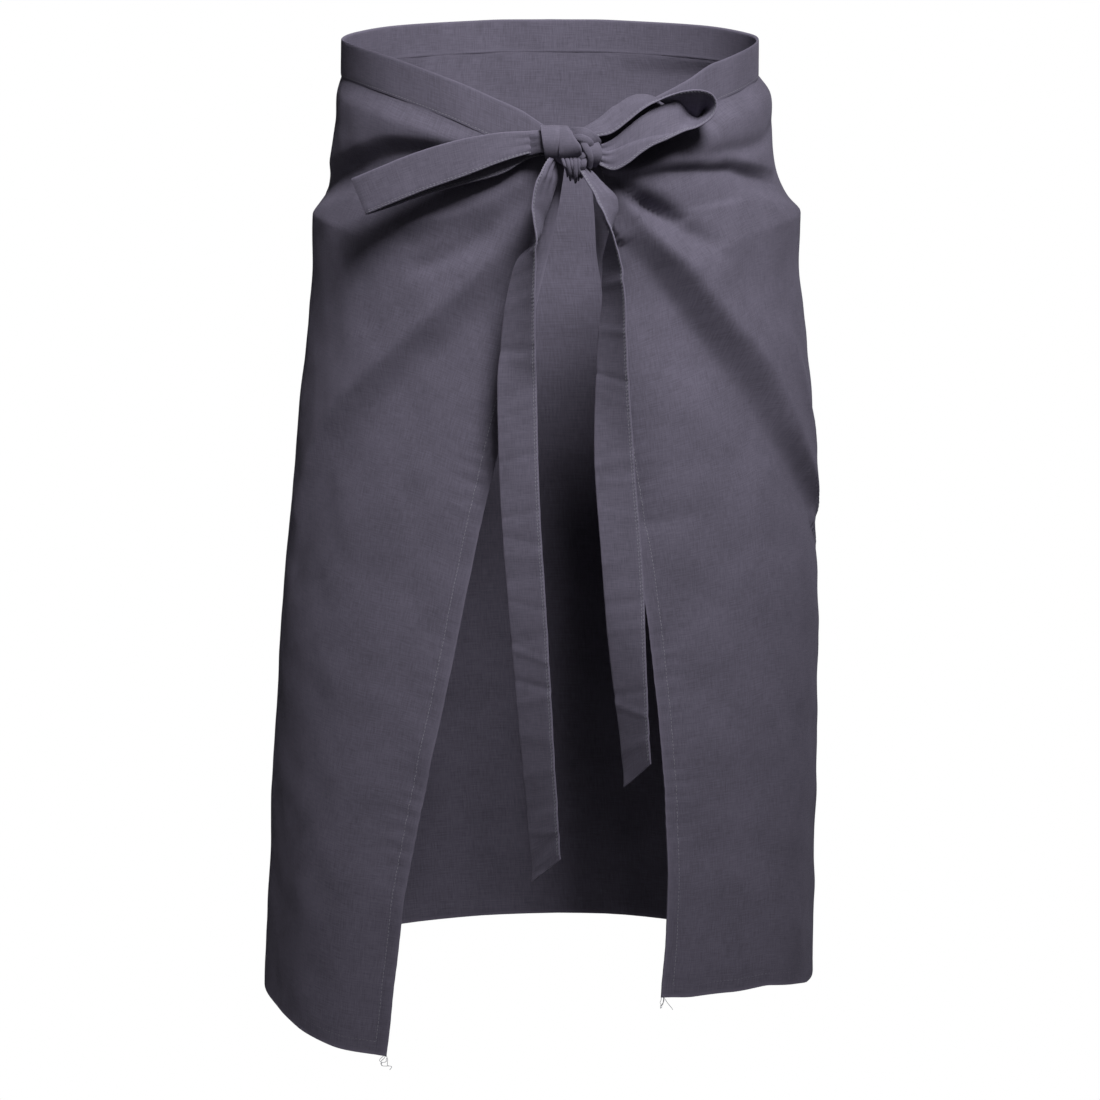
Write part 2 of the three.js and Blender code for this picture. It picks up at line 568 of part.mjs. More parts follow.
const slate = 0x55535f;
const paleSlate = 0x5f5d69;
const knotRoom = knotSolid(clearance);
addPiece('skirt', clearOf(skirtGeometry(), knotRoom), slate);
addPiece('waistband', clearOf(bandGeometry(), knotRoom), slate);
addPiece('bow_knot', toGeometry(knotSolid(0)), paleSlate);
addPiece('bow_loop_left', clearOf(tieGeometry(LOOP_LEFT, loopLeftLength, 0.5, 0), knotRoom), paleSlate);
addPiece('bow_loop_right', clearOf(tieGeometry(LOOP_RIGHT, loopRightLength, 0, 0), knotRoom), paleSlate);
addPiece('tie_tail_left', clearOf(tieGeometry(TAIL_LEFT, tailLeftLength, 0.5, tailSlant), knotRoom), paleSlate);
addPiece('tie_tail_right', clearOf(tieGeometry(TAIL_RIGHT, tailRightLength, 0.5, tailSlant), knotRoom), paleSlate);

export default apron;
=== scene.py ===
"""Looks of a waist apron: one rectangle of cloth on a waistband, wrapped round and tied behind in a bow.

Metres, in the CAD model's frame: +X is to the right when the bow is looked at, -Y is the tied
side, +Z is up, and the origin is the middle of the waist opening at the band's height at the sides.
Angles go round from the middle of the tied side, minus to the left. A drop is a share of the
cloth's length below the band's seam.
"""

import logging
import math
from collections.abc import Callable
from dataclasses import dataclass, field
from enum import Enum

import bpy
import numpy as np
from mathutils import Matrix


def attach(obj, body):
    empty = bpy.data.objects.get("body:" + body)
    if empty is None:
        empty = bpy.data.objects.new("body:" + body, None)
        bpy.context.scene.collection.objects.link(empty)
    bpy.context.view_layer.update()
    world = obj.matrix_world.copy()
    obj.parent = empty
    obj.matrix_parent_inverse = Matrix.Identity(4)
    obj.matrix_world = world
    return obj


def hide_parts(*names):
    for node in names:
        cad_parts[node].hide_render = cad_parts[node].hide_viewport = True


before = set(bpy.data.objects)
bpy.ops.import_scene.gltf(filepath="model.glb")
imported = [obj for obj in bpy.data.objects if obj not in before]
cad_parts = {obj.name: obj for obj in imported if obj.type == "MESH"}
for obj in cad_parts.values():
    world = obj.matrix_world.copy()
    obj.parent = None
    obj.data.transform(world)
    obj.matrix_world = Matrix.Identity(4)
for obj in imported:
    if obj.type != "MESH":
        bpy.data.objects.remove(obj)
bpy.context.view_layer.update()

Array = np.ndarray
Numbers = float | Array
Surface = Callable[[Array, Array], Array]
log = logging.getLogger("apron")
MM = 0.001
BODY = "root"


class Slot(Enum):
    """Material slots of the record."""

    CLOTH = "cloth"
    TIE_CLOTH = "tie_cloth"
    THREAD = "thread"


# Numbers and curves


def unit(vectors: Array) -> Array:
    """Vectors at length one: each divided by its own length."""
    return vectors / np.maximum(np.linalg.norm(vectors, axis=-1, keepdims=True), 1e-12)


def smoothstep(value: Numbers, low: float, high: float) -> Array:
    """Rises from 0 at low to 1 at high with level ends: 3 t squared minus 2 t cubed."""
    t = np.clip((np.asarray(value, float) - low) / (high - low), 0, 1)
    return t * t * (3 - 2 * t)


def lerp(start: Numbers, end: Numbers, share: Numbers) -> Array:
    """The value at a share of the way from start to end."""
    return start + (end - start) * np.asarray(share, float)


def signed_power(value: Array, power: float) -> Array:
    """The value's size to a power, with the value's sign."""
    return np.sign(value) * np.abs(value) ** power


def beside(*parts: Numbers) -> Array:
    """Numbers side by side along a new last axis, each spread to the same shape first."""
    return np.stack(np.broadcast_arrays(*parts), axis=-1)


def bell(distance: Numbers, breadth: Numbers, power: float = 2) -> Array:
    """1 in the middle and falling outwards: e to the minus distance over breadth to a power."""
    return np.exp(-((distance / breadth) ** power))


def width_direction(swing: Array, lean: Array) -> Array:
    """Direction of a strip's width: upright, swung about the line of sight and tipped, in degrees."""
    swing, lean = np.radians(swing), np.radians(lean)
    return beside(np.sin(swing) * np.cos(lean), np.sin(lean), np.cos(swing) * np.cos(lean))


def curve(keys: Array, values: Array, at: Numbers) -> Array:
    """Smooth curve through values at keys.

    A cubic between each two keys, whose slope at a key is the slope between its neighbours.

    Args:
        keys: Rising numbers.
        values: One value for each key.
        at: Where the curve is read.

    Returns:
        The curve's values, held level outside the keys.
    """
    last = len(keys) - 1
    before = np.maximum(np.arange(last + 1) - 1, 0)
    after = np.minimum(np.arange(last + 1) + 1, last)
    slopes = (values[after] - values[before]) / (keys[after] - keys[before])
    at = np.asarray(at, float)
    i = np.clip(np.searchsorted(keys, at, side="right") - 1, 0, last - 1)
    span = keys[i + 1] - keys[i]
    t = np.clip((at - keys[i]) / span, 0, 1)
    ends = (1 + 2 * t) * (1 - t) ** 2 * values[i] + t * t * (3 - 2 * t) * values[i + 1]
    return ends + span * (t * (1 - t) ** 2 * slopes[i] - t * t * (1 - t) * slopes[i + 1])


@dataclass(frozen=True)
class Table:
    """Rows of numbers under named columns, read as smooth curves."""

    columns: str
    rows: tuple[tuple[float, ...], ...]

    def column(self, name: str) -> Array:
        """All the numbers of one column."""
        return np.array(self.rows, float)[:, self.columns.split().index(name)]

    def read(self, name: str, at: Numbers) -> Array:
        """One column where the first column has the value at."""
        return curve(self.column(self.columns.split()[0]), self.column(name), at)

    def walk(self, name: str, at: Numbers) -> Array:
        """One column at a number of rows from the first row."""
        return curve(np.arange(len(self.rows), dtype=float), self.column(name), at)


# Meshes


@dataclass
class Wall:
    """A closed wall of cloth between an outer and an inner grid of points.

    The rows run down or along the cloth and the columns across it. The outer grid lies on the
    side of the cross product of a step across and a step down.
    """

    outer: Array
    inner: Array
    uv: Array
    edge: Array

    def faces(self) -> Array:
        """Corners of each face: the two grids, the inner one turned round, and four rims."""
        rows, columns = self.outer.shape[:2]
        out = np.arange(rows * columns).reshape(rows, columns)
        ins = out + rows * columns

        def quads(a: Array, b: Array, c: Array, d: Array) -> Array:
            """Faces from four arrays of corners."""
            return np.stack([a.ravel(), b.ravel(), c.ravel(), d.ravel()], axis=1)

        return np.concatenate([
            quads(out[:-1, :-1], out[:-1, 1:], out[1:, 1:], out[1:, :-1]),
            quads(ins[:-1, :-1], ins[1:, :-1], ins[1:, 1:], ins[:-1, 1:]),
            quads(out[0, 1:], out[0, :-1], ins[0, :-1], ins[0, 1:]),
            quads(out[-1, :-1], out[-1, 1:], ins[-1, 1:], ins[-1, :-1]),
            quads(out[:-1, 0], out[1:, 0], ins[1:, 0], ins[:-1, 0]),
            quads(out[1:, -1], out[:-1, -1], ins[:-1, -1], ins[1:, -1]),
        ])

    def build(self, name: str) -> bpy.types.Object:
        """Makes the wall's object, with its UV map in metres and its edge attribute."""
        points = np.concatenate([self.outer.reshape(-1, 3), self.inner.reshape(-1, 3)])
        return mesh_object(
            name, points, self.faces().tolist(),
            np.tile(self.uv.reshape(-1, 2), (2, 1)), np.tile(self.edge.ravel(), 2),
        )


SHARP_ANGLE = math.radians(55)


def mesh_object(name: str, points: Array, faces: list, uv: Array, edge: Array) -> bpy.types.Object:
    """Makes a smooth-shaded object at the origin from points and faces.

    Args:
        name: The object's name.
        points: Places of the vertices.
        faces: Vertex numbers of each face.
        uv: Place of each vertex on the flat cloth, in metres.
        edge: 1 at an edge of the cloth and 0 in the open cloth, for each vertex.

    Returns:
        The object, linked to the scene.
    """
    mesh = bpy.data.meshes.new(name)
    mesh.from_pydata(points.tolist(), [], faces)
    mesh.update(calc_edges=True)
    corners = np.empty(len(mesh.loops), np.int32)
    mesh.loops.foreach_get("vertex_index", corners)
    mesh.uv_layers.new(name="UVMap").data.foreach_set("uv", uv[corners].astype(np.float32).ravel())
    layer = mesh.attributes.new("edge", "FLOAT", "POINT")
    layer.data.foreach_set("value", edge.astype(np.float32))
    mesh.shade_smooth()
    mesh.set_sharp_from_angle(angle=SHARP_ANGLE)
    made = bpy.data.objects.new(name, mesh)
    bpy.context.scene.collection.objects.link(made)
    return made


def grid_normals(points: Array) -> Array:
    """Normals of a grid: the cross product of a step across and a step down, at length one."""
    return unit(np.cross(np.gradient(points, axis=1), np.gradient(points, axis=0)))


def tube_faces(tubes: int, rings: int, sides: int) -> list:
    """Faces of tubes whose rings of points follow each other: the four-cornered sides and both ends."""
    first = np.arange(tubes)[:, None, None] * rings * sides
    k = np.arange(sides)
    a = first + np.arange(rings - 1)[:, None] * sides + k
    b = a - k + (k + 1) % sides
    walls = np.stack([a, b, b + sides, a + sides], axis=-1).reshape(-1, 4)
    starts, ends = first[:, 0] + k[::-1], first[:, 0] + (rings - 1) * sides + k
    return walls.tolist() + starts.tolist() + ends.tolist()


@dataclass(frozen=True)
class StitchRow:
    """A line of machine stitches on the cloth: where it runs and which way is up from the cloth."""

    path: Array
    normals: Array

    @classmethod
    def on(cls, surface: Surface, first: Array, second: Array, steps: tuple[float, float]) -> "StitchRow":
        """A row on a surface of two parameters, with normals from a short step along each."""
        here = surface(first, second)
        across, down = surface(first + steps[0], second) - here, surface(first, second + steps[1]) - here
        return cls(here, unit(np.cross(across, down)))


@dataclass(frozen=True)
class Stitching:
    """Short rounded stitches laid end to end along rows, in one mesh."""

    pitch: float = 3.1 * MM
    length: float = 2.5 * MM
    radius: float = 0.24 * MM
    sides: int = 6
    profile: Table = Table("along radius lift", (
        (-0.5, 0.35, -0.6), (-0.3, 1, 0.35), (0.3, 1, 0.35), (0.5, 0.35, -0.6)))

    def build(self, name: str, rows: list[StitchRow]) -> bpy.types.Object:
        """Makes all the stitches of some rows.

        A stitch is four rings round its line, small at the two ends. Its middle lies on the
        cloth, and it bows up by half its radius between its two holes.

        Args:
            name: The object's name.
            rows: The lines that the stitches follow.

        Returns:
            The mesh object.
        """
        along = self.profile.column("along") * self.length
        radii = self.profile.column("radius") * self.radius
        lift = self.profile.column("lift") * self.radius
        turn = np.arange(self.sides) * 2 * np.pi / self.sides
        places, ways, ups = (np.concatenate(part) for part in zip(*map(self.centres, rows)))
        sides = np.cross(ways, ups)
        rings = (
            places[:, None, None]
            + ways[:, None, None] * along[None, :, None, None]
            + ups[:, None, None] * (lift[:, None] + radii[:, None] * np.cos(turn))[None, :, :, None]
            + sides[:, None, None] * (radii[:, None] * np.sin(turn))[None, :, :, None]
        )
        points = rings.reshape(-1, 3)
        faces = tube_faces(len(places), len(along), self.sides)
        return mesh_object(name, points, faces, points[:, ::2], np.ones(len(points)))

    def centres(self, row: StitchRow) -> tuple[Array, Array, Array]:
        """Middles, directions and up directions of a row's stitches, spaced along its length."""
        steps = np.linalg.norm(np.diff(row.path, axis=0), axis=1)
        way = np.concatenate([[0], np.cumsum(steps)])
        at = np.arange(self.pitch / 2, way[-1], self.pitch)

        def spread(values: Array) -> Array:
            """Values read at the stitches' middles."""
            return np.stack([np.interp(at, way, values[:, k]) for k in range(3)], axis=1)

        ways = unit(spread(np.gradient(row.path, axis=0)))
        ups = spread(row.normals)
        ups = unit(ups - ways * np.sum(ups * ways, axis=1, keepdims=True))
        return spread(row.path), ways, ups


# Materials


@dataclass(frozen=True)
class Value:
    """A number that varies over a surface: a socket whose operators add Math nodes."""

    shader: "Shader"
    socket: bpy.types.NodeSocket

    def math(self, operation: str, *others: "Value | float") -> "Value":
        """Adds a Math node on this value and others."""
        made = self.shader.node("ShaderNodeMath", {"operation": operation}, dict(enumerate([self, *others])))
        return Value(self.shader, made.outputs[0])

    def __add__(self, other: "Value | float") -> "Value":
        """This value plus another."""
        return self.math("ADD", other)

    def __mul__(self, other: "Value | float") -> "Value":
        """This value times another."""
        return self.math("MULTIPLY", other)

    __radd__ = __add__
    __rmul__ = __mul__

    def __sub__(self, other: "Value | float") -> "Value":
        """This value less another."""
        return self.math("SUBTRACT", other)

    def __rsub__(self, other: float) -> "Value":
        """A number less this value."""
        return self * -1.0 + other


class Shader:
    """The nodes of one material."""

    def __init__(self, name: str) -> None:
        """Starts a material with no nodes."""
        self.material = bpy.data.materials.new(name)
        self.material.use_nodes = True
        self.tree = self.material.node_tree
        self.tree.nodes.clear()

    def node(self, kind: str, settings: dict | None = None, sockets: dict | None = None) -> bpy.types.Node:
        """Adds a node.

        Args:
            kind: The node's type.
            settings: Values of its own properties, set first.
            sockets: Values or links of its input sockets, by name or number.

        Returns:
            The node.
        """
        made = self.tree.nodes.new(kind)
        for name, value in (settings or {}).items():
            setattr(made, name, value)
        for name, value in (sockets or {}).items():
            if isinstance(value, Value):
                value = value.socket
            if isinstance(value, bpy.types.NodeSocket):
                self.tree.links.new(value, made.inputs[name])
            else:
                made.inputs[name].default_value = value
        return made

    def value(self, kind: str, settings: dict | None = None, sockets: dict | None = None,
              output: str | int = 0) -> Value:
        """Adds a node and wraps one of its outputs."""
        return Value(self, self.node(kind, settings, sockets).outputs[output])

    def blend(self, factor: Value, start: tuple | bpy.types.NodeSocket,
              end: tuple | bpy.types.NodeSocket) -> bpy.types.NodeSocket:
        """Mixes two colours by a factor."""
        sockets = {0: factor, 6: start, 7: end}
        return self.node("ShaderNodeMix", {"data_type": "RGBA"}, sockets).outputs[2]


    def finish(self, sockets: dict) -> bpy.types.Material:
        """Adds the surface and the output node, and gives the material."""
        surface = self.node("ShaderNodeBsdfPrincipled", sockets=sockets)
        self.node("ShaderNodeOutputMaterial", sockets={"Surface": surface.outputs[0]})
        return self.material


@dataclass(frozen=True)
class WovenCloth:
    """Slate twill: fine diagonal weave, faint slubs and mottling, paler at its edges."""

    name: str
    colour: tuple[float, float, float]
    edge_gain: float = 1.45
    weave_pitch: float = 0.75 * MM
    weave_depth: float = 0.16 * MM
    roughness: float = 0.86
    sheen: float = 0.10
    cross_turns: float = 2.3
    thread_scales: tuple[float, float] = (2600, 150)
    slub_scales: tuple[float, float] = (1100, 75)
    mottle_scales: tuple[float, float] = (28, 22)
    tone_gains: tuple[float, float] = (0.76, 1.24)
    edge_share: float = 0.75
    bump_strength: float = 0.45
    thread_roughness: float = 0.94

    def shade(self, gain: float) -> tuple[float, float, float, float]:
        """The cloth's colour times a gain."""
        return (*(part * gain for part in self.colour), 1.0)

    def material(self) -> bpy.types.Material:
        """Makes the material.

        The weave is the sine of the sum of the two ways across the flat cloth, crossed by a
        finer sine along one of them. Noise stretched along the threads makes slubs.

        Returns:
            The material.
        """
        shader = Shader(self.name)
        place = shader.node("ShaderNodeUVMap", {"uv_map": "UVMap"}).outputs[0]
        parts = shader.node("ShaderNodeSeparateXYZ", sockets={0: place})
        across, along = (Value(shader, parts.outputs[k]) for k in (0, 1))
        turns = 2 * math.pi / self.weave_pitch
        twill = ((across + along) * turns).math("SINE")
        cross = (along * (self.cross_turns * turns)).math("SINE")
        edge = shader.value("ShaderNodeAttribute", {"attribute_name": "edge"}, output="Fac")

        def noise(scale: tuple[float, float], detail: float) -> Value:
            """Noise over the flat cloth with features 1 / scale across and along, in metres."""
            stretched = shader.node("ShaderNodeMapping", sockets={0: place, 3: (*scale, 1.0)}).outputs[0]
            return shader.value("ShaderNodeTexNoise", sockets={
                "Vector": stretched, "Scale": 1.0, "Detail": detail, "Roughness": 0.55}, output="Fac")

        def crossed(scale: tuple[float, float]) -> Value:
            """The mean of noise stretched along the cloth's length and along its width."""
            return noise(scale, 1.0) * 0.5 + noise(scale[::-1], 1.0) * 0.5

        grain, slubs = crossed(self.thread_scales), crossed(self.slub_scales)
        mottle = noise(self.mottle_scales, 3.0)
        tone = grain * 1.3 + slubs * 1.9 + mottle * 0.9 + twill * 0.05 - 1.55
        varied = shader.blend(tone, *map(self.shade, self.tone_gains))
        # Paler towards the cloth's edges, where the edge attribute rises.
        colour = shader.blend(edge * self.edge_share, varied, self.shade(self.edge_gain))
        height = twill * 0.5 + cross * 0.25 + grain * 1.2 + slubs * 1.6
        bump = shader.node("ShaderNodeBump", sockets={
            "Strength": self.bump_strength, "Distance": self.weave_depth, "Height": height}).outputs[0]
        return shader.finish({
            "Base Color": colour,
            "Roughness": self.thread_roughness - grain * (2 * (self.thread_roughness - self.roughness)),
            "Specular IOR Level": 0.30,
            "Sheen Weight": self.sheen,
            "Sheen Roughness": 0.5,
            "Sheen Tint": (0.80, 0.74, 1.0, 1.0),
            "Normal": bump,
        })


@dataclass(frozen=True)
class SewingThread:
    """Spun thread: a little paler and glossier than the cloth, with fine twist."""

    name: str
    colour: tuple[float, float, float]
    roughness: float = 0.6

    def material(self) -> bpy.types.Material:
        """Makes the material: noise along the thread between a darker and a paler tone."""
        shader = Shader(self.name)
        place = shader.node("ShaderNodeTexCoord").outputs["Object"]
        fleck = shader.value("ShaderNodeTexNoise", sockets={
            "Vector": place, "Scale": 2500.0, "Detail": 2.0}, output="Fac")
        dark, pale = ((*(part * gain for part in self.colour), 1.0) for gain in (0.8, 1.25))
        bump = shader.node("ShaderNodeBump", sockets={
            "Strength": 0.3, "Distance": 0.05 * MM, "Height": fleck}).outputs[0]
        return shader.finish({
            "Base Color": shader.blend(fleck, dark, pale),
            "Roughness": self.roughness,
            "Normal": bump,
        })


@dataclass
class Wardrobe:
    """The finishes, one for each material slot, made once."""

    cloth: WovenCloth = WovenCloth("apron_twill", (0.107, 0.0965, 0.134))
    tie_cloth: WovenCloth = WovenCloth("tie_twill", (0.120, 0.1085, 0.150))
    thread: SewingThread = SewingThread("sewing_thread", (0.20, 0.195, 0.235))
    made: dict[Slot, bpy.types.Material] = field(default_factory=dict)

    def dress(self, piece: bpy.types.Object, slot: Slot, replaces: str | None = None) -> bpy.types.Object:
        """Gives a piece its finish, its body and, where it has one, the node that it stands for.

        Args:
            piece: The mesh object.
            slot: The record's slot for it.
            replaces: Name of the CAD node that the piece replaces.

        Returns:
            The piece.
        """
        if slot not in self.made:
            finish = {Slot.CLOTH: self.cloth, Slot.TIE_CLOTH: self.tie_cloth, Slot.THREAD: self.thread}[slot]
            self.made[slot] = finish.material()
        piece.data.materials.append(self.made[slot])
        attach(piece, BODY)
        if replaces:
            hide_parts(replaces)
        log.info("%s: %d faces", piece.name, len(piece.data.polygons))
        return piece


# The worn form


@dataclass(frozen=True)
class WornForm:
    """The form that the apron takes round waist and hips, as in the CAD model."""

    waist_breadth: float = 349 * MM
    waist_depth: float = 260 * MM
    skirt_breadth: float = 456 * MM
    skirt_depth: float = 264 * MM
    waist_reach: float = 0.15
    roundness: float = 2.25
    front_rise: float = 35 * MM
    back_dip: float = 92 * MM
    band_width: float = 30 * MM
    band_end_share: float = 0.62
    band_taper_angle: float = 9.0
    knot_offset: float = 17 * MM
    knot_standoff: float = 18 * MM
    knot_pull: float = 8 * MM
    knot_pull_reach: float = 44 * MM
    sections: Table = Table("drop left right back front", (
        (0, 1, 1, 1, 1),
        (0.02, 0.985, 1.02, 0.99, 1),
        (0.05, 0.928, 0.966, 0.972, 1),
        (0.1, 0.866, 0.897, 0.944, 0.997),
        (0.15, 0.862, 0.897, 0.917, 0.985),
        (0.2, 0.866, 0.906, 0.902, 0.977),
        (0.3, 0.9, 0.95, 0.894, 0.97),
        (0.5, 0.962, 0.98, 0.902, 0.977),
        (0.6, 0.989, 0.994, 0.917, 0.985),
        (0.8, 1.02, 0.984, 0.962, 1),
        (1, 1.045, 0.975, 1, 1.015),
    ))
    band_line: Table = Table("angle rise dip", (
        (-180, 1, 0), (-165, 0.966, 0), (-135, 0.707, 0), (-110, 0.342, 0),
        (-90, 0, 0), (-50, 0, 0.28), (-25, 0, 0.55), (-11, 0, 0.76),
        (3, 0, 0.99), (11, 0, 0.96), (25, 0, 0.74), (38, 0, 0.54),
        (50, 0, 0.35), (90, 0, 0), (110, 0.342, 0), (135, 0.707, 0),
        (165, 0.966, 0), (180, 1, 0),
    ))
    side_edges: Table = Table("drop left right", (
        (0, 2.9, 7.3), (0.1, 0.1, 10.3), (0.2, -3.8, 11.4), (0.3, -8.4, 12.3),
        (0.45, -14.4, 15.8), (0.6, -19.5, 18.9), (0.8, -27, 22.3), (0.92, -30, 22.5),
        (1, -31.5, 21.5),
    ))

    def section(self, angle: Numbers, drop: Numbers) -> tuple[Array, Array]:
        """X and Y of the body's section at an angle and a drop.

        A superellipse: half the size there times a share of the table, times the sine or
        cosine to the power of 2 over the roundness. The half sizes pass from the waist's to
        the skirt's within the waist's reach.
        """
        reach = np.clip(np.asarray(drop, float) / self.waist_reach, 0, 1)
        half_breadth = lerp(self.waist_breadth, self.skirt_breadth, reach) / 2
        half_depth = lerp(self.waist_depth, self.skirt_depth, reach) / 2
        sine, cosine = np.sin(np.radians(angle)), np.cos(np.radians(angle))
        read = self.sections.read
        side = np.where(sine < 0, read("left", drop), read("right", drop))
        facing = np.where(cosine > 0, read("back", drop), read("front", drop))
        power = 2 / self.roundness
        x = half_breadth * side * signed_power(sine, power)
        return x, -half_depth * facing * signed_power(cosine, power)

    def outward(self, x: Array, y: Array) -> Array:
        """Level direction out of the section at a point."""
        way = np.stack([x / self.waist_breadth, y / self.waist_depth, np.zeros_like(x)], axis=-1)
        return unit(way)

    def band_height(self, angle: Numbers) -> Array:
        """Height of the band's middle line: the front's rise less the back's dip."""
        read = self.band_line.read
        return self.front_rise * read("rise", angle) - self.back_dip * read("dip", angle)

    def band_half_height(self, angle: Numbers) -> Array:
        """Upright distance from the band's middle line to an edge.

        Half the band's width, less towards the knot, times the root of 1 plus the line's
        slope squared.
        """
        before, after = np.maximum(np.asarray(angle) - 1.0, -180), np.minimum(np.asarray(angle) + 1.0, 180)
        (x0, y0), (x1, y1) = self.section(before, 0.0), self.section(after, 0.0)
        slope = (self.band_height(after) - self.band_height(before)) / np.hypot(x1 - x0, y1 - y0)
        left, right = self.side_edges.read("left", 0.0), self.side_edges.read("right", 0.0)
        from_end = np.where(angle > right, angle - right, left - angle)
        taper = smoothstep(from_end, 0, self.band_taper_angle)
        return self.band_width / 2 * lerp(self.band_end_share, 1, taper) * np.hypot(1, slope)

    def knot_middle(self) -> Array:
        """Middle of the knot, behind the band's lowest place."""
        height = float(self.band_height(3.0)) - self.band_width * 0.2
        return np.array([self.knot_offset, -self.waist_depth / 2 - self.knot_standoff, height])

    def pulled(self, points: Array) -> Array:
        """Points on the tied side drawn out to the knot: less with the distance from it, as a bell curve."""
        middle = self.knot_middle()
        away = np.hypot(points[..., 0] - middle[0], points[..., 2] - middle[2]) / self.knot_pull_reach
        moved = points.copy()
        moved[..., 1] -= self.knot_pull * np.exp(-away * away) * (points[..., 1] < 0)
        return moved

    def angle_between(self, drop: Numbers, share: Numbers) -> Array:
        """Angle at a share of the way round, from the left free edge past the front to the right one."""
        left, right = self.side_edges.read("left", drop), self.side_edges.read("right", drop)
        turned = left - np.asarray(share) * (360 + left - right)
        return np.where(turned < -180, turned + 360, turned)


# The skirt


@dataclass(frozen=True)
class Fold:
    """A fold or crease that the knot draws in the cloth.

    path holds angles and drops. In millimetres, height is how far the cloth stands out there
    (minus for a valley), above and below are how fast it runs out on its two sides, and droop
    is how far its lip hangs down. sharp is 0 for a round top and 1 for a pointed one, and fade
    holds where along half a sine the path starts and ends.
    """

    name: str
    height: float
    above: float
    below: float
    path: tuple[tuple[float, float], ...]
    droop: float = 0.0
    sharp: float = 0.0
    fade: tuple[float, float] = (0.08, 0.96)

    def relief(self, place: Array, unroll: "Skirt") -> tuple[Array, Array]:
        """How far the fold moves the cloth outwards and downwards.

        With the distance to the path as a share of the breadth on that side, the move is a
        bell: e to the minus distance to the power of 2, or less for a sharp fold. It fades
        towards both ends of the path as the root of a sine.

        Args:
            place: Places on the flat cloth, in metres round and down.
            unroll: The skirt, which turns angles and drops into such places.

        Returns:
            The moves outwards and downwards, in metres.
        """
        corners = unroll.flat_place(np.array(self.path)[:, 0], np.array(self.path)[:, 1])
        steps = np.linspace(0, len(corners) - 1, PATH_SAMPLES + 1)
        order = np.arange(len(corners), dtype=float)
        line = np.stack([curve(order, corners[:, k], steps) for k in (0, 1)], axis=1)
        start, way = line[:-1], np.diff(line, axis=0)
        gap = place[:, None, :] - start[None]
        share = np.clip(np.sum(gap * way, axis=2) / np.sum(way * way, axis=1), 0, 1)
        gap = gap - share[..., None] * way
        distance = np.linalg.norm(gap, axis=2)
        nearest = np.argmin(distance, axis=1)
        each = np.arange(len(place))
        distance, share, gap = distance[each, nearest], share[each, nearest], gap[each, nearest]
        ahead = way[nearest]
        downwards = (ahead[:, 0] * gap[:, 1] - ahead[:, 1] * gap[:, 0]) * np.sign(ahead[:, 0])
        breadth = np.where(downwards < 0, self.above, self.below) * MM
        along = lerp(*self.fade, (nearest + share) / PATH_SAMPLES)
        fade = np.sqrt(np.sin(np.pi * along))
        outwards = self.height * MM * fade * bell(distance, breadth, 2 - self.sharp)
        return outwards, self.droop * MM * fade * bell(distance, breadth)


PATH_SAMPLES = 28


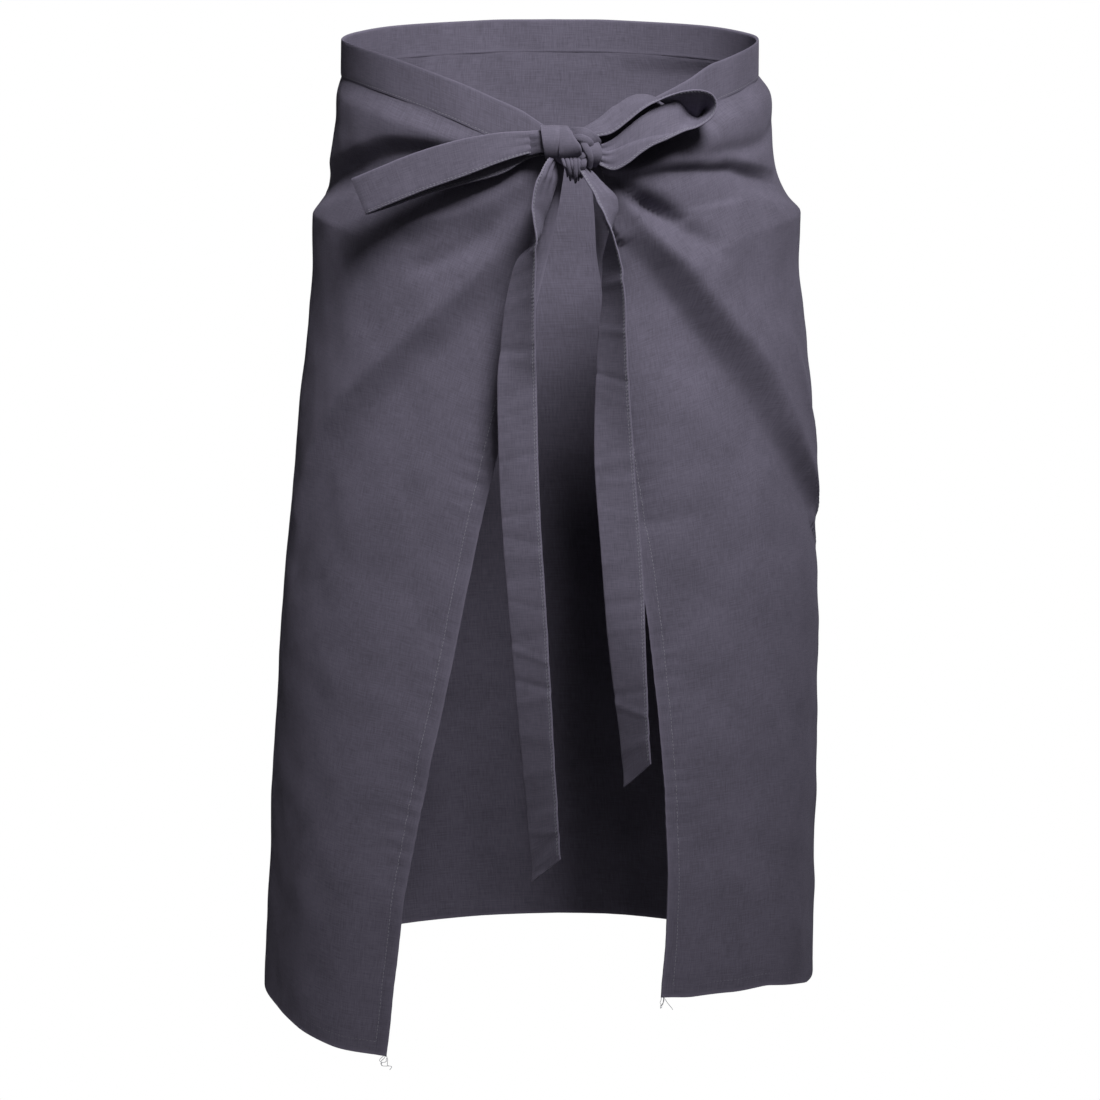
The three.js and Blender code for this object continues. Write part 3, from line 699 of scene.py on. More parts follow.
@dataclass
class Skirt:
    """The apron's rectangle of cloth with its hems, folds, puckers and stitches."""

    form: WornForm
    cloth_width: float = 965 * MM
    cloth_length: float = 762 * MM
    thickness: float = 1.2 * MM
    hem_extra: float = 0.8 * MM
    side_hem: float = 10 * MM
    stitch_inset: float = 1.5 * MM
    groove_breadth: float = 1.3 * MM
    groove_depth: float = 0.35 * MM
    foot_hem: float = 12 * MM
    seam_gap: float = 0.3 * MM
    seam_drop: float = 0.02
    tucked_drop: float = 0.005
    mean_radius: float = 152.25 * MM
    hem_waves: int = 7
    hem_wave_height: float = 3.5 * MM
    pucker_pitch: float = 13 * MM
    pucker_height: float = 0.55 * MM
    pucker_reach: float = 14 * MM
    pucker_drops: tuple[float, ...] = (0.22, 0.34, 0.8, 1.0)
    pucker_loss: float = 0.6
    curl_depth: float = 12 * MM
    curl_reach: float = 30 * MM
    curl_drops: tuple[float, ...] = (0.03, 0.12, 0.36, 0.55)
    fine_reach: float = 0.26
    fine_rows: int = 98
    rows: int = 138
    spacings: Table = Table("share spacing", (
        (0, 1.5), (0.012, 1.5), (0.02, 3), (0.27, 3.6), (0.33, 14), (0.67, 14), (0.73, 3.6), (0.98, 3),
        (0.988, 1.5), (1, 1.5)))
    dents: Table = Table("length height", ((150, 0.9), (95, 0.7), (60, 0.45), (38, 0.28), (26, 0.16)))
    dents_of_a_length: int = 3
    falls: Table = Table("angle fall", (
        (-180, 0.993), (-90, 1.008), (-45, 1.02), (-30, 1.01), (-10, 1), (10, 0.9),
        (30, 0.923), (60, 0.967), (90, 0.997), (180, 0.993),
    ))
    folds: tuple[Fold, ...] = (
        Fold("left drag ridge", 9, 24, 9,
             ((-3, 0.050), (-13, 0.136), (-24, 0.199), (-36, 0.259), (-60, 0.366), (-76, 0.470)), sharp=0.6),
        Fold("valley under the left ridge", -5.5, 12, 30,
             ((-6, 0.12), (-16, 0.2), (-38, 0.31), (-60, 0.42), (-72, 0.52))),
        Fold("left pouch", 6.5, 34, 12,
             ((-22, 0.014), (-45, 0.034), (-66, 0.066), (-92, 0.096)), droop=3.5),
        Fold("crease under the left pouch", -6, 7, 18,
             ((-22, 0.026), (-45, 0.058), (-66, 0.094), (-94, 0.130)), sharp=0.6),
        Fold("left hip ridge", 3, 10, 40,
             ((-60, 0.12), (-80, 0.145), (-100, 0.165))),
        Fold("upper left ridge", 5.5, 10, 10,
             ((-3, 0.022), (-14, 0.069), (-26, 0.106), (-45, 0.140)), sharp=0.5),
        Fold("valley between the left ridges", -4.5, 8, 7,
             ((-4, 0.036), (-11, 0.088), (-22, 0.140), (-32, 0.170)), sharp=0.3),
        Fold("short left ridge", 3, 5, 5, ((-4, 0.062), (-7, 0.106), (-10, 0.150)), sharp=0.5),
        Fold("right drag ridge", 12, 26, 6,
             ((13, 0.024), (17, 0.052), (25, 0.121), (36, 0.204), (51, 0.306), (66, 0.400), (92, 0.485)),
             sharp=0.7),
        Fold("valley under the right ridge", -13, 9, 34,
             ((17, 0.11), (27, 0.19), (40, 0.28), (56, 0.38), (80, 0.48))),
        Fold("right pouch", 7, 34, 8,
             ((14, 0.008), (30, 0.028), (46, 0.052), (62, 0.078), (80, 0.098)),
             droop=1.5, fade=(0.08, 1.0)),
        Fold("crease under the right pouch", -4.5, 3.5, 8,
             ((13, 0.02), (24, 0.036), (36, 0.053), (48, 0.074), (60, 0.095), (74, 0.113)),
             sharp=0.7, fade=(0.08, 1.0)),
        Fold("soft valley over the right crease", -4, 8, 8,
             ((34, 0.028), (43, 0.046), (53, 0.057), (68, 0.061), (80, 0.056))),
        Fold("right hip ridge", 5.5, 8, 46,
             ((54, 0.116), (74, 0.138), (92, 0.152), (114, 0.158))),
        Fold("wedge over the right ridge", -15, 5, 6,
             ((13.6, 0.022), (15.6, 0.033), (18, 0.046), (21.2, 0.062), (25, 0.079), (32, 0.108)),
             sharp=0.4, fade=(0.04, 1.0)),
        Fold("broad end of the wedge", -10, 7, 15,
             ((21, 0.064), (25, 0.084), (30, 0.108), (38, 0.142)), sharp=0.3),
        Fold("small right ridge", 3.5, 9, 9,
             ((62, 0.265), (74, 0.344), (86, 0.420)), sharp=0.4),
        Fold("low right crease", -1.5, 5, 8, ((16, 0.430), (21, 0.440), (28, 0.436))),
    )

    def flat_place(self, angle: Array, drop: Array) -> Array:
        """Place on the flat cloth: the angle times the mean radius, and the drop times the length."""
        return np.stack([np.radians(angle) * self.mean_radius, drop * self.cloth_length], axis=-1)

    def shares(self) -> Array:
        """Shares of the way round for the mesh's columns: close at the free edges, coarse in front."""
        fine = np.linspace(0, 1, 2001)
        spacing = np.interp(fine, self.spacings.column("share"), self.spacings.column("spacing") * MM)
        count = np.cumsum(self.cloth_width / spacing) / len(fine)
        count = (count - count[0]) / (count[-1] - count[0])
        columns = int(self.cloth_width * np.mean(1 / spacing))
        return np.interp(np.linspace(0, 1, columns), count, fine)

    def drops(self) -> Array:
        """Drops of the mesh's rows: one tucked into the band, close where the folds are, then wider."""
        folded = np.linspace(0, self.fine_reach, self.fine_rows, endpoint=False)
        return np.concatenate([[-self.tucked_drop], folded, np.linspace(self.fine_reach, 1, self.rows)])

    def waves(self, angle: Array, drop: Array) -> Array:
        """Gentle waves that grow with the square of the drop."""
        return self.hem_wave_height * drop**2 * np.sin(np.radians(angle) * self.hem_waves + 1)

    def unevenness(self, place: Array) -> Array:
        """Faint dents all over: a sum of sine waves of many directions and lengths, from a fixed seed."""
        random = np.random.default_rng(11)
        total = np.zeros(place.shape[:-1])
        for length, height in self.dents.rows:
            for _ in range(self.dents_of_a_length):
                way = random.uniform(0, np.pi)
                turn = 2 * np.pi / (length * MM)
                along = place[..., 0] * np.cos(way) + place[..., 1] * np.sin(way)
                share = height * MM / self.dents_of_a_length
                total += share * np.sin(turn * along + random.uniform(0, 2 * np.pi))
        return total

    def puckers(self, from_edge: Array, drop: Array, seed: int) -> Array:
        """Puckers beside a sewn edge.

        A sine along the edge whose pitch and height wander, least at the edge's own stitches
        and fading with the distance from them.
        """
        random = np.random.default_rng(seed)
        way = drop * self.cloth_length

        def wave(turn: float) -> Array:
            """A sine along the edge that starts at a random place."""
            return np.sin(way * turn + random.uniform(0, 6))

        wander = sum(random.uniform(0.5, 1.5) * wave(turn) for turn in (23, 41, 67))
        strength = 0.5 + 0.5 * wave(31) * wave(12)
        across = bell(from_edge - self.side_hem, self.pucker_reach)
        starts, ends = self.pucker_drops[:2], self.pucker_drops[2:]
        reach = smoothstep(drop, *starts) * (1 - self.pucker_loss * smoothstep(drop, *ends))
        ripple = np.sin(2 * np.pi * way / self.pucker_pitch + wander)
        return self.pucker_height * strength * across * reach * ripple

    def surface(self, share: Array, drop: Array) -> Array:
        """Points of the cloth's outer side.

        The section at the point's angle, moved outwards by folds, waves, dents and puckers,
        at a height that falls from the band's seam, and drawn out to the knot.

        Args:
            share: Shares of the way round, from the left free edge to the right one.
            drop: Drops below the seam.

        Returns:
            The points, with one more axis than share and drop.
        """
        share, drop = np.broadcast_arrays(np.asarray(share, float), np.asarray(drop, float))
        angle = self.form.angle_between(drop, share)
        x, y = self.form.section(angle, drop)
        place = self.flat_place(angle, drop)
        flat = place.reshape(-1, 2)
        moves = [fold.relief(flat, self) for fold in self.folds]
        out = sum(move[0] for move in moves).reshape(share.shape)
        down = sum(move[1] for move in moves).reshape(share.shape)
        from_left, from_right = share * self.cloth_width, (1 - share) * self.cloth_width
        out = out + self.waves(angle, drop) + self.unevenness(place)
        out = out + self.puckers(from_left, drop, 3) + self.puckers(from_right, drop, 5)
        curl = np.clip(1 - from_right / self.curl_reach, 0, 1) ** 2
        starts, ends = self.curl_drops[:2], self.curl_drops[2:]
        out = out - self.curl_depth * curl * smoothstep(drop, *starts) * (1 - smoothstep(drop, *ends))
        settled = smoothstep(drop, 0, self.seam_drop)
        from_foot = (1 - drop) * self.cloth_length
        side, foot = self.side_hem, self.foot_hem
        for distance, hem in ((from_left, side), (from_right, side), (from_foot, foot)):
            out = out - self.groove_depth * bell(distance - hem + self.stitch_inset, self.groove_breadth)
        outward = self.form.outward(x, y)
        seam = self.form.band_height(angle) - self.form.band_half_height(angle) - self.seam_gap
        fall = self.cloth_length * self.falls.read("fall", angle)
        points = np.stack([x, y, seam - fall * drop - down * settled], axis=-1)
        points = points + outward * ((out * settled + self.thickness)[..., None])
        return self.form.pulled(points)

    def wall(self) -> Wall:
        """The cloth's wall: thicker by a turned hem along the sides and the foot."""
        drop = self.drops()[:, None]
        share = self.shares()[None, :]
        outer = self.surface(share, drop)
        from_side = np.minimum(share, 1 - share) * self.cloth_width
        from_foot = (1 - drop) * self.cloth_length
        in_hem = np.maximum(1 - smoothstep(from_side, self.side_hem - MM, self.side_hem + MM),
                            1 - smoothstep(from_foot, self.foot_hem - MM, self.foot_hem + MM))
        thick = self.thickness + self.hem_extra * in_hem
        edge = np.maximum(np.exp(-from_side / (1.5 * MM)), np.exp(-from_foot / (1.5 * MM)))
        edge = edge * np.ones(outer.shape[:2])
        uv = beside(share * self.cloth_width, drop * self.cloth_length)
        normals = grid_normals(outer)
        normals[0] = unit(normals[0] * np.array([1, 1, 0]))
        return Wall(outer, outer - normals * thick[..., None], uv, edge)

    def stitch_rows(self) -> list[StitchRow]:
        """Stitches at the inner edge of each hem."""
        side = (self.side_hem - self.stitch_inset) / self.cloth_width
        foot = 1 - (self.foot_hem - self.stitch_inset) / self.cloth_length
        down = np.linspace(0.01, foot, 500)
        around = np.linspace(side, 1 - side, 700)
        lines = ((np.full_like(down, side), down), (np.full_like(down, 1 - side), down),
                 (around, np.full_like(around, foot)))
        steps = (0.5 * MM / self.cloth_width, 0.5 * MM / self.cloth_length)
        return [StitchRow.on(self.surface, *line, steps) for line in lines]

    def build(self, wardrobe: Wardrobe) -> None:
        """Makes the cloth and its stitches."""
        cloth = wardrobe.dress(self.wall().build("skirt_cloth"), Slot.CLOTH, "skirt")
        thread = wardrobe.dress(Stitching().build("skirt_hem_stitches", self.stitch_rows()), Slot.THREAD)
        LooseThreads().build(self.surface(np.array([0.001, 0.999]), np.array([0.999, 0.999])), wardrobe)


@dataclass(frozen=True)
class LooseThreads:
    """Ends of sewing thread that hang from the two lower corners of the cloth."""

    count: int = 4
    reach: float = 14 * MM
    radius: float = 0.22 * MM
    steps: int = 24
    sides: int = 6

    def build(self, corners: Array, wardrobe: Wardrobe) -> None:
        """Makes the threads of all the corners in one mesh.

        Each is a tube round a path that falls from its corner and wanders as two sines: the
        path plus a cosine and a sine of the turn along two directions across it.

        Args:
            corners: Places that the threads hang from.
            wardrobe: The finishes.
        """
        random = np.random.default_rng(21)
        total = len(corners) * self.count
        start = np.repeat(corners, self.count, axis=0) + random.uniform(-1, 1, (total, 3)) * MM
        fall = np.linspace(0, 1, self.steps)[None, :, None]
        way = random.uniform(-0.6, 0.6, (total, 1, 3)) + np.array([0, -0.05, -0.9])
        bend = random.uniform(-0.35, 0.35, (total, 1, 3)) * np.array([1, 0.5, 0.4])
        length = self.reach * random.uniform(0.4, 1.0, (total, 1, 1))
        wander = bend * (np.sin(5 * fall) + 0.3 * np.sin(13 * fall))
        path = start[:, None] + length * (way * fall + wander)
        along = unit(np.gradient(path, axis=1))
        side = unit(np.cross(along, np.array([0.3, 1.0, 0.2])))
        up = np.cross(side, along)
        turn = -np.linspace(0, 2 * np.pi, self.sides, endpoint=False)[:, None]
        around = side[:, :, None] * np.cos(turn) + up[:, :, None] * np.sin(turn)
        points = (path[:, :, None] + self.radius * around).reshape(-1, 3)
        faces = tube_faces(total, self.steps, self.sides)
        made = mesh_object("loose_threads", points, faces, points[:, :2], np.ones(len(points)))
        wardrobe.dress(made, Slot.THREAD)


# The waistband


@dataclass
class Waistband:
    """The folded strip that the cloth is sewn into."""

    form: WornForm
    thickness: float = 2.4 * MM
    length: float = 930 * MM
    columns: int = 340
    heights: tuple[float, ...] = (1, 0.97, 0.92, 0.85, 0.7, 0.5, 0.25, 0,
                                  -0.25, -0.5, -0.7, -0.84, -0.9, -0.96, -1)
    stitch_height: float = -0.88
    groove_depth: float = 0.3 * MM
    standoff: float = 1.9 * MM

    def surface(self, share: Array, height: Array) -> Array:
        """Points of the band's outer side: height runs from 1 at its top edge to -1 at its foot."""
        share, height = np.broadcast_arrays(share, height)
        angle = self.form.angle_between(0.0, share)
        x, y = self.form.section(angle, 0.0)
        up = self.form.band_height(angle) + self.form.band_half_height(angle) * height
        roll = self.thickness * 0.16 * np.clip((np.abs(height) - 0.86) / 0.14, 0, 1) ** 2
        groove = self.groove_depth * bell(height - self.stitch_height, 0.03)
        way = share * self.length
        ripple = 0.35 * MM * np.sin(way * 95 + 2 * np.sin(way * 17)) * (1 - height) / 2
        points = np.stack([x, y, up], axis=-1)
        outward = self.form.outward(x, y)
        return self.form.pulled(points + outward * (self.standoff - roll - groove + ripple)[..., None])

    def wall(self) -> Wall:
        """The band's wall."""
        share = np.linspace(0, 1, self.columns)[None, :]
        height = np.array(self.heights)[:, None]
        outer = self.surface(share, height)
        normals = grid_normals(outer)
        normals[-1] = unit(normals[-1] * np.array([1, 1, 0]))
        rounded = np.clip((1 - np.abs(height)) / 0.1, 0, 1) ** 0.5
        thick = self.thickness * lerp(0.35, 1.0, rounded) * np.ones_like(share)
        edge = np.exp(-(1 - np.abs(height)) / 0.06) * np.ones_like(share)
        uv = beside(share * self.length, (1 - height) / 2 * self.form.band_width)
        return Wall(outer, outer - normals * thick[..., None], uv, edge)

    def stitch_rows(self) -> list[StitchRow]:
        """One row of stitches near the foot, outside."""
        share = np.linspace(0.004, 0.996, 900)
        return [StitchRow.on(self.surface, share, np.full_like(share, self.stitch_height), (0.0005, -0.02))]

    def build(self, wardrobe: Wardrobe) -> None:
        """Makes the band and its stitches."""
        band = wardrobe.dress(self.wall().build("waistband_strip"), Slot.CLOTH, "waistband")
        thread = wardrobe.dress(Stitching().build("waistband_stitches", self.stitch_rows()), Slot.THREAD)


# The ties


@dataclass(frozen=True)
class Tie:
    """A folded strip carried along a path from the knot.

    In its path, across and up are shares of the length, out is a share of the strip's width
    towards the tied side, swing turns the width away from upright, lean tips its upper or right
    edge towards the wearer, and width is a share of the strip's width. anchor is the share of
    the width that lies on the path, slant how far the free end is cut aslant as a share of the
    width, margin the shares of the edge's columns, and cuff the share that is turned up at each
    row of the path. end_reach is the stretch over which the slant grows.
    """

    name: str
    node: str
    length: float
    path: Table
    held: str
    anchor: float = 0.5
    slant: float = 0.0
    strip_width: float = 33 * MM
    thickness: float = 1.7 * MM
    spacing: float = 2.2 * MM
    seed: int = 1
    crease_height: float = 0.7 * MM
    stitched_share: tuple[float, ...] = (0.94, 0.88)
    cuff: Table | None = None
    cuff_depth: float = 2.6 * MM
    margin: tuple[float, ...] = (0, 0.012, 0.035, 0.08, 0.12)
    groove_share: float = 0.25
    end_reach: float = 60 * MM
    crease_pitch: float = 17 * MM
    gather_height: float = 0.9 * MM
    gather_reach: float = 26 * MM
    gathers: float = 3.2

    def line(self) -> tuple[Array, Array]:
        """Row numbers close together along the path, and the distance along it at each."""
        fine = np.linspace(0, len(self.path.rows) - 1, 1200)
        walk = self.path.walk
        middle = np.stack([walk("across", fine) * self.length, walk("out", fine) * self.strip_width,
                           walk("up", fine) * self.length], axis=1)
        way = np.concatenate([[0], np.cumsum(np.linalg.norm(np.diff(middle, axis=0), axis=1))])
        return fine, way

    def middle(self, knot: Array, share: Array, distance: Array, fine: Array, way: Array) -> Array:
        """Points of the strip's middle face at shares of its width and distances along it."""
        at = np.interp(distance, way, fine)
        walk = self.path.walk
        width_way = width_direction(walk("swing", at), walk("lean", at))
        points = np.stack([walk("across", at) * self.length, -walk("out", at) * self.strip_width,
                           walk("up", at) * self.length], axis=-1) + knot
        beyond = np.maximum(distance - way[-1], 0)
        points[..., 2] -= beyond
        return points + width_way * ((share - self.anchor) * self.strip_width * walk("width", at))[..., None]

    def creases(self, share: Array, distance: Array) -> Array:
        """Soft creases of the strip.

        Gathers run along it beside the knot: a cosine across the width that fades with the
        distance along it. Crosswise creases lie at uneven places, each a bell along the strip
        that slants across it.
        """
        random = np.random.default_rng(self.seed)
        faded = bell(distance, self.gather_reach)
        if self.held == "folded":
            faded = faded + bell(distance - self.line()[1][-1], self.gather_reach)
        total = self.gather_height * faded * np.cos(2 * np.pi * self.gathers * share + random.uniform(0, 6))
        for place in np.arange(20 * MM, self.length, self.crease_pitch):
            here = place + random.uniform(-7, 7) * MM
            lean = random.uniform(-0.35, 0.35)
            breadth = random.uniform(2.5, 6.0) * MM
            height = self.crease_height * random.uniform(-1, 1)
            offset = distance - here - lean * (share - 0.5) * self.strip_width
            total += height * bell(offset, breadth)
        return total

    def turned_up(self, share: Array, at: Array) -> Array:
        """How far the cuff, the lower part of the width that is turned up, stands in front of the rest."""
        if self.cuff is None:
            return np.zeros(np.broadcast(share, at).shape)
        fold = self.cuff.read("share", at)
        return self.cuff_depth * (1 - smoothstep(share - fold, -0.03, 0.03)) * smoothstep(fold, 0.02, 0.12)

    def wall(self, knot: Array) -> tuple[Wall, list[StitchRow]]:
        """The strip's wall, rounded at its two edges, and the stitches along its open edge."""
        fine, way = self.line()
        count = int(way[-1] / self.spacing) + 1
        even = np.linspace(0, way[-1], count)[:, None]
        margin = np.array(self.margin)
        share = np.concatenate([margin, np.linspace(0.16, 0.84, 24), (1 - margin)[::-1]])[None, :]

        def face(share: Array, even: Array) -> Array:
            """The middle face with its creases and cut end."""
            near_end = smoothstep(even, way[-1] - self.end_reach, way[-1])
            distance = even + self.slant * self.strip_width * (0.5 - share) * near_end
            points = self.middle(knot, share, distance, fine, way)
            points = points + grid_normals(points) * self.creases(share, even)[..., None]
            points[..., 1] -= self.turned_up(share, np.interp(distance, way, fine))
            return points

        middle = face(share, even)
        normals = grid_normals(middle)
        rounded = np.sqrt(np.clip(np.minimum(share, 1 - share) / 0.03, 0, 1))
        groove = sum(self.groove_share * bell(share - place, 0.018) for place in self.stitched_share)
        half = self.thickness / 2 * (lerp(0.35, 1.0, rounded) - groove) * np.ones_like(even)
        edge = np.exp(-np.minimum(share, 1 - share) / 0.025) * np.ones_like(even)
        uv = beside(share * self.strip_width, even)
        offset = normals * half[..., None]
        rows = []
        for place in self.stitched_share:
            near = np.argmin(np.abs(share[0] - place))
            line, out, up = (part[1:-1, near] for part in (middle, offset, normals))
            rows += [StitchRow(line + side * out, side * up) for side in (1, -1)]
        return Wall(middle + offset, middle - offset, uv, edge), rows

    def build(self, knot: Array, wardrobe: Wardrobe) -> bpy.types.Object:
        """Makes the tie and its stitches."""
        wall, rows = self.wall(knot)
        strip = wardrobe.dress(wall.build(self.name), Slot.TIE_CLOTH, self.node)
        thread = wardrobe.dress(Stitching().build(f"{self.name}_stitches", rows), Slot.THREAD)
        flat = float(self.line()[1][-1])
        return strip


TIE_COLUMNS = "across up out swing lean width"
LOOP_LEFT = Tie("bow_loop_left_strip", "bow_loop_left", 172 * MM, Table(TIE_COLUMNS, (
    (-0.04, 0.05, 0, 0, 0, 0.5), (-0.15, 0.048, 0.06, 0, 0, 0.54),
    (-0.205, 0.042, 0.1, -3, 0, 0.56), (-0.333, 0.019, 0.12, -8, 0, 0.72),
    (-0.52, -0.03, 0, -14, 0, 0.9), (-0.708, -0.087, -0.2, -17, 0, 0.95),
    (-0.872, -0.148, -0.42, -20, 0, 0.95), (-0.975, -0.187, -0.6, -22, 0, 0.95),
    (-1, -0.197, -0.68, -23, 0, 0.95), (-0.975, -0.19, -0.76, -22, 0, 0.95),
    (-0.872, -0.158, -0.68, -20, 0, 0.95), (-0.708, -0.107, -0.46, -17, 0, 0.93),
    (-0.52, -0.062, -0.28, -14, 0, 0.9), (-0.333, -0.022, -0.18, -8, 0, 0.8),
    (-0.19, 0.012, -0.12, 0, 0, 0.4), (-0.06, 0.022, -0.08, 0, 0, 0.3),
)), "folded", seed=2, crease_height=0.3 * MM, stitched_share=(0.035, 0.08))
LOOP_RIGHT = Tie("bow_loop_right_strip", "bow_loop_right", 118 * MM, Table(TIE_COLUMNS, (
    (0.08, 0.08, 0.1, -30, 48, 0.45), (0.18, 0.105, 0.18, -30, 48, 0.6),
    (0.27, 0.12, 0.24, -26, 48, 0.8), (0.36, 0.18, 0.28, -20, 52, 0.95),
    (0.53, 0.31, 0.26, -22, 66, 1), (0.72, 0.4, 0.08, -5, 108, 1),
    (0.86, 0.43, -0.12, 0, 124, 1), (0.96, 0.41, -0.28, 32, 122, 1),
    (1, 0.35, -0.36, 80, 116, 1), (0.99, 0.285, -0.36, 122, 112, 1),
    (0.94, 0.225, -0.31, 160, 109, 1), (0.86, 0.175, -0.21, 186, 112, 1),
    (0.79, 0.15, -0.12, 186, 126, 1), (0.72, 0.115, -0.03, 186, 157, 1),
    (0.655, 0.08, 0.04, 186, 165, 1), (0.555, 0.034, 0.12, 186, 170, 1),
    (0.47, -0.022, 0.15, 184, 174, 0.98), (0.39, -0.085, 0.12, 180, 176, 0.92),
    (0.29, -0.13, 0.05, 175, 178, 0.75), (0.19, -0.09, 0, 172, 180, 0.5),
    (0.08, -0.04, 0, 172, 180, 0.45),
)), "folded", anchor=0.0, seed=4, crease_height=0.3 * MM, stitched_share=(0.035, 0.08),
    cuff=Table("row share", (
        (0, 0), (12.5, 0), (14, 0.12), (15, 0.22), (16, 0.34), (17, 0.5), (18, 0.62), (20, 0.7))))
TAIL_LEFT = Tie("tie_tail_left_strip", "tie_tail_left", 589 * MM, Table(TIE_COLUMNS, (
    (-0.022, -0.008, 0.1, 90, -118, 0.4), (-0.027, -0.022, 0.2, 86, -118, 0.7),
    (-0.033, -0.042, 0.3, 84, -120, 1), (-0.04, -0.068, 0.32, 80, -117, 1),
    (-0.044, -0.096, 0.32, 80, -105, 1), (-0.047, -0.123, 0.3, 82, -90, 1),
    (-0.061, -0.147, 0.26, 84, -62, 1), (-0.069, -0.203, 0.18, 88, -44, 1),
    (-0.073, -0.271, 0.08, 90, -30, 1), (-0.074, -0.332, 0, 90, -14, 1),
    (-0.07, -0.477, 0, 90, -16, 1), (-0.061, -0.613, 0.02, 90, -22, 1),
    (-0.051, -0.75, 0.02, 90, -31, 1), (-0.041, -0.887, 0, 90, -40, 1),
    (-0.034, -0.983, -0.02, 90, -44, 1),
)), "hung", slant=0.62, seed=6, stitched_share=(0.965, 0.92))
TAIL_RIGHT = Tie("tie_tail_right_strip", "tie_tail_right", 511 * MM, Table(TIE_COLUMNS, (
    (0.02, -0.026, 0.12, 90, -130, 0.4), (0.036, -0.046, 0.2, 86, -128, 0.62),
    (0.058, -0.08, 0.26, 82, -122, 0.95), (0.062, -0.117, 0.28, 86, -96, 1),
    (0.063, -0.171, 0.26, 90, -66, 1), (0.067, -0.228, 0.22, 90, -58, 1),
    (0.065, -0.291, 0.12, 90, -47, 1), (0.065, -0.382, 0.04, 90, -34, 1),
    (0.069, -0.502, 0, 90, -12, 1), (0.08, -0.644, 0, 90, -6, 1),
    (0.089, -0.791, 0.02, 90, -28, 1), (0.099, -0.912, 0.02, 90, -44, 1),
    (0.105, -0.983, 0, 90, -48, 1),
)), "hung", slant=0.62, seed=8, stitched_share=(0.965, 0.92))


# The knot


STRAND_STEPS = 60
STRAND_COLUMNS = 28
STRAND_TABLE = "across out up swing lean wide thick"


@dataclass(frozen=True)
class Strand:
    """A gathered stretch of tie inside the knot: a rounded band along a short path.

    across, out and up are millimetres from the knot's middle, swing and lean turn the width
    as on a tie, and wide and thick are millimetres.
    """

    name: str
    path: Table
    pleats: int = 0
    pleat_depth: float = 0.0
    roundness: float = 0.5
    stitched: tuple[float, ...] = ()

    def build(self, knot: Array) -> tuple[bpy.types.Object, list[StitchRow]]:
        """Makes the strand and gives its rows of stitches.

        Its section at each place is a flattened ellipse: thickness times the root of 1 less
        the square of the share across, waved by a cosine where it is pleated.
        """
        at = np.linspace(0, len(self.path.rows) - 1, STRAND_STEPS)[:, None]
        walk = self.path.walk
        width_way = width_direction(walk("swing", at), walk("lean", at))
        turn = np.linspace(-np.pi / 2, np.pi / 2, STRAND_COLUMNS)[None, :]
        side = np.sin(turn)
        middle = np.stack([walk("across", at), -walk("out", at), walk("up", at)], axis=-1) * MM + knot
        points = middle + width_way * (side * walk("wide", at) * MM / 2)[..., None]
        normals = grid_normals(points)
        profile = np.maximum(np.cos(turn), 0.02) ** self.roundness
        pleat = 1 + self.pleat_depth * np.cos(np.pi * self.pleats * side) * (self.pleats > 0)
        half = walk("thick", at) * MM / 2 * profile * pleat
        edge = np.exp(-(1 - np.abs(side)) / 0.08) * 0.5 * np.ones_like(at)
        uv = beside(side * 0.016, at * 0.01)
        offset = normals * half[..., None]
        columns = [int(np.argmin(np.abs(side[0] - place))) for place in self.stitched]
        rows = [StitchRow((points + offset)[4:-4, k], normals[4:-4, k]) for k in columns]
        return Wall(points + offset, points - offset, uv, edge).build(self.name), rows


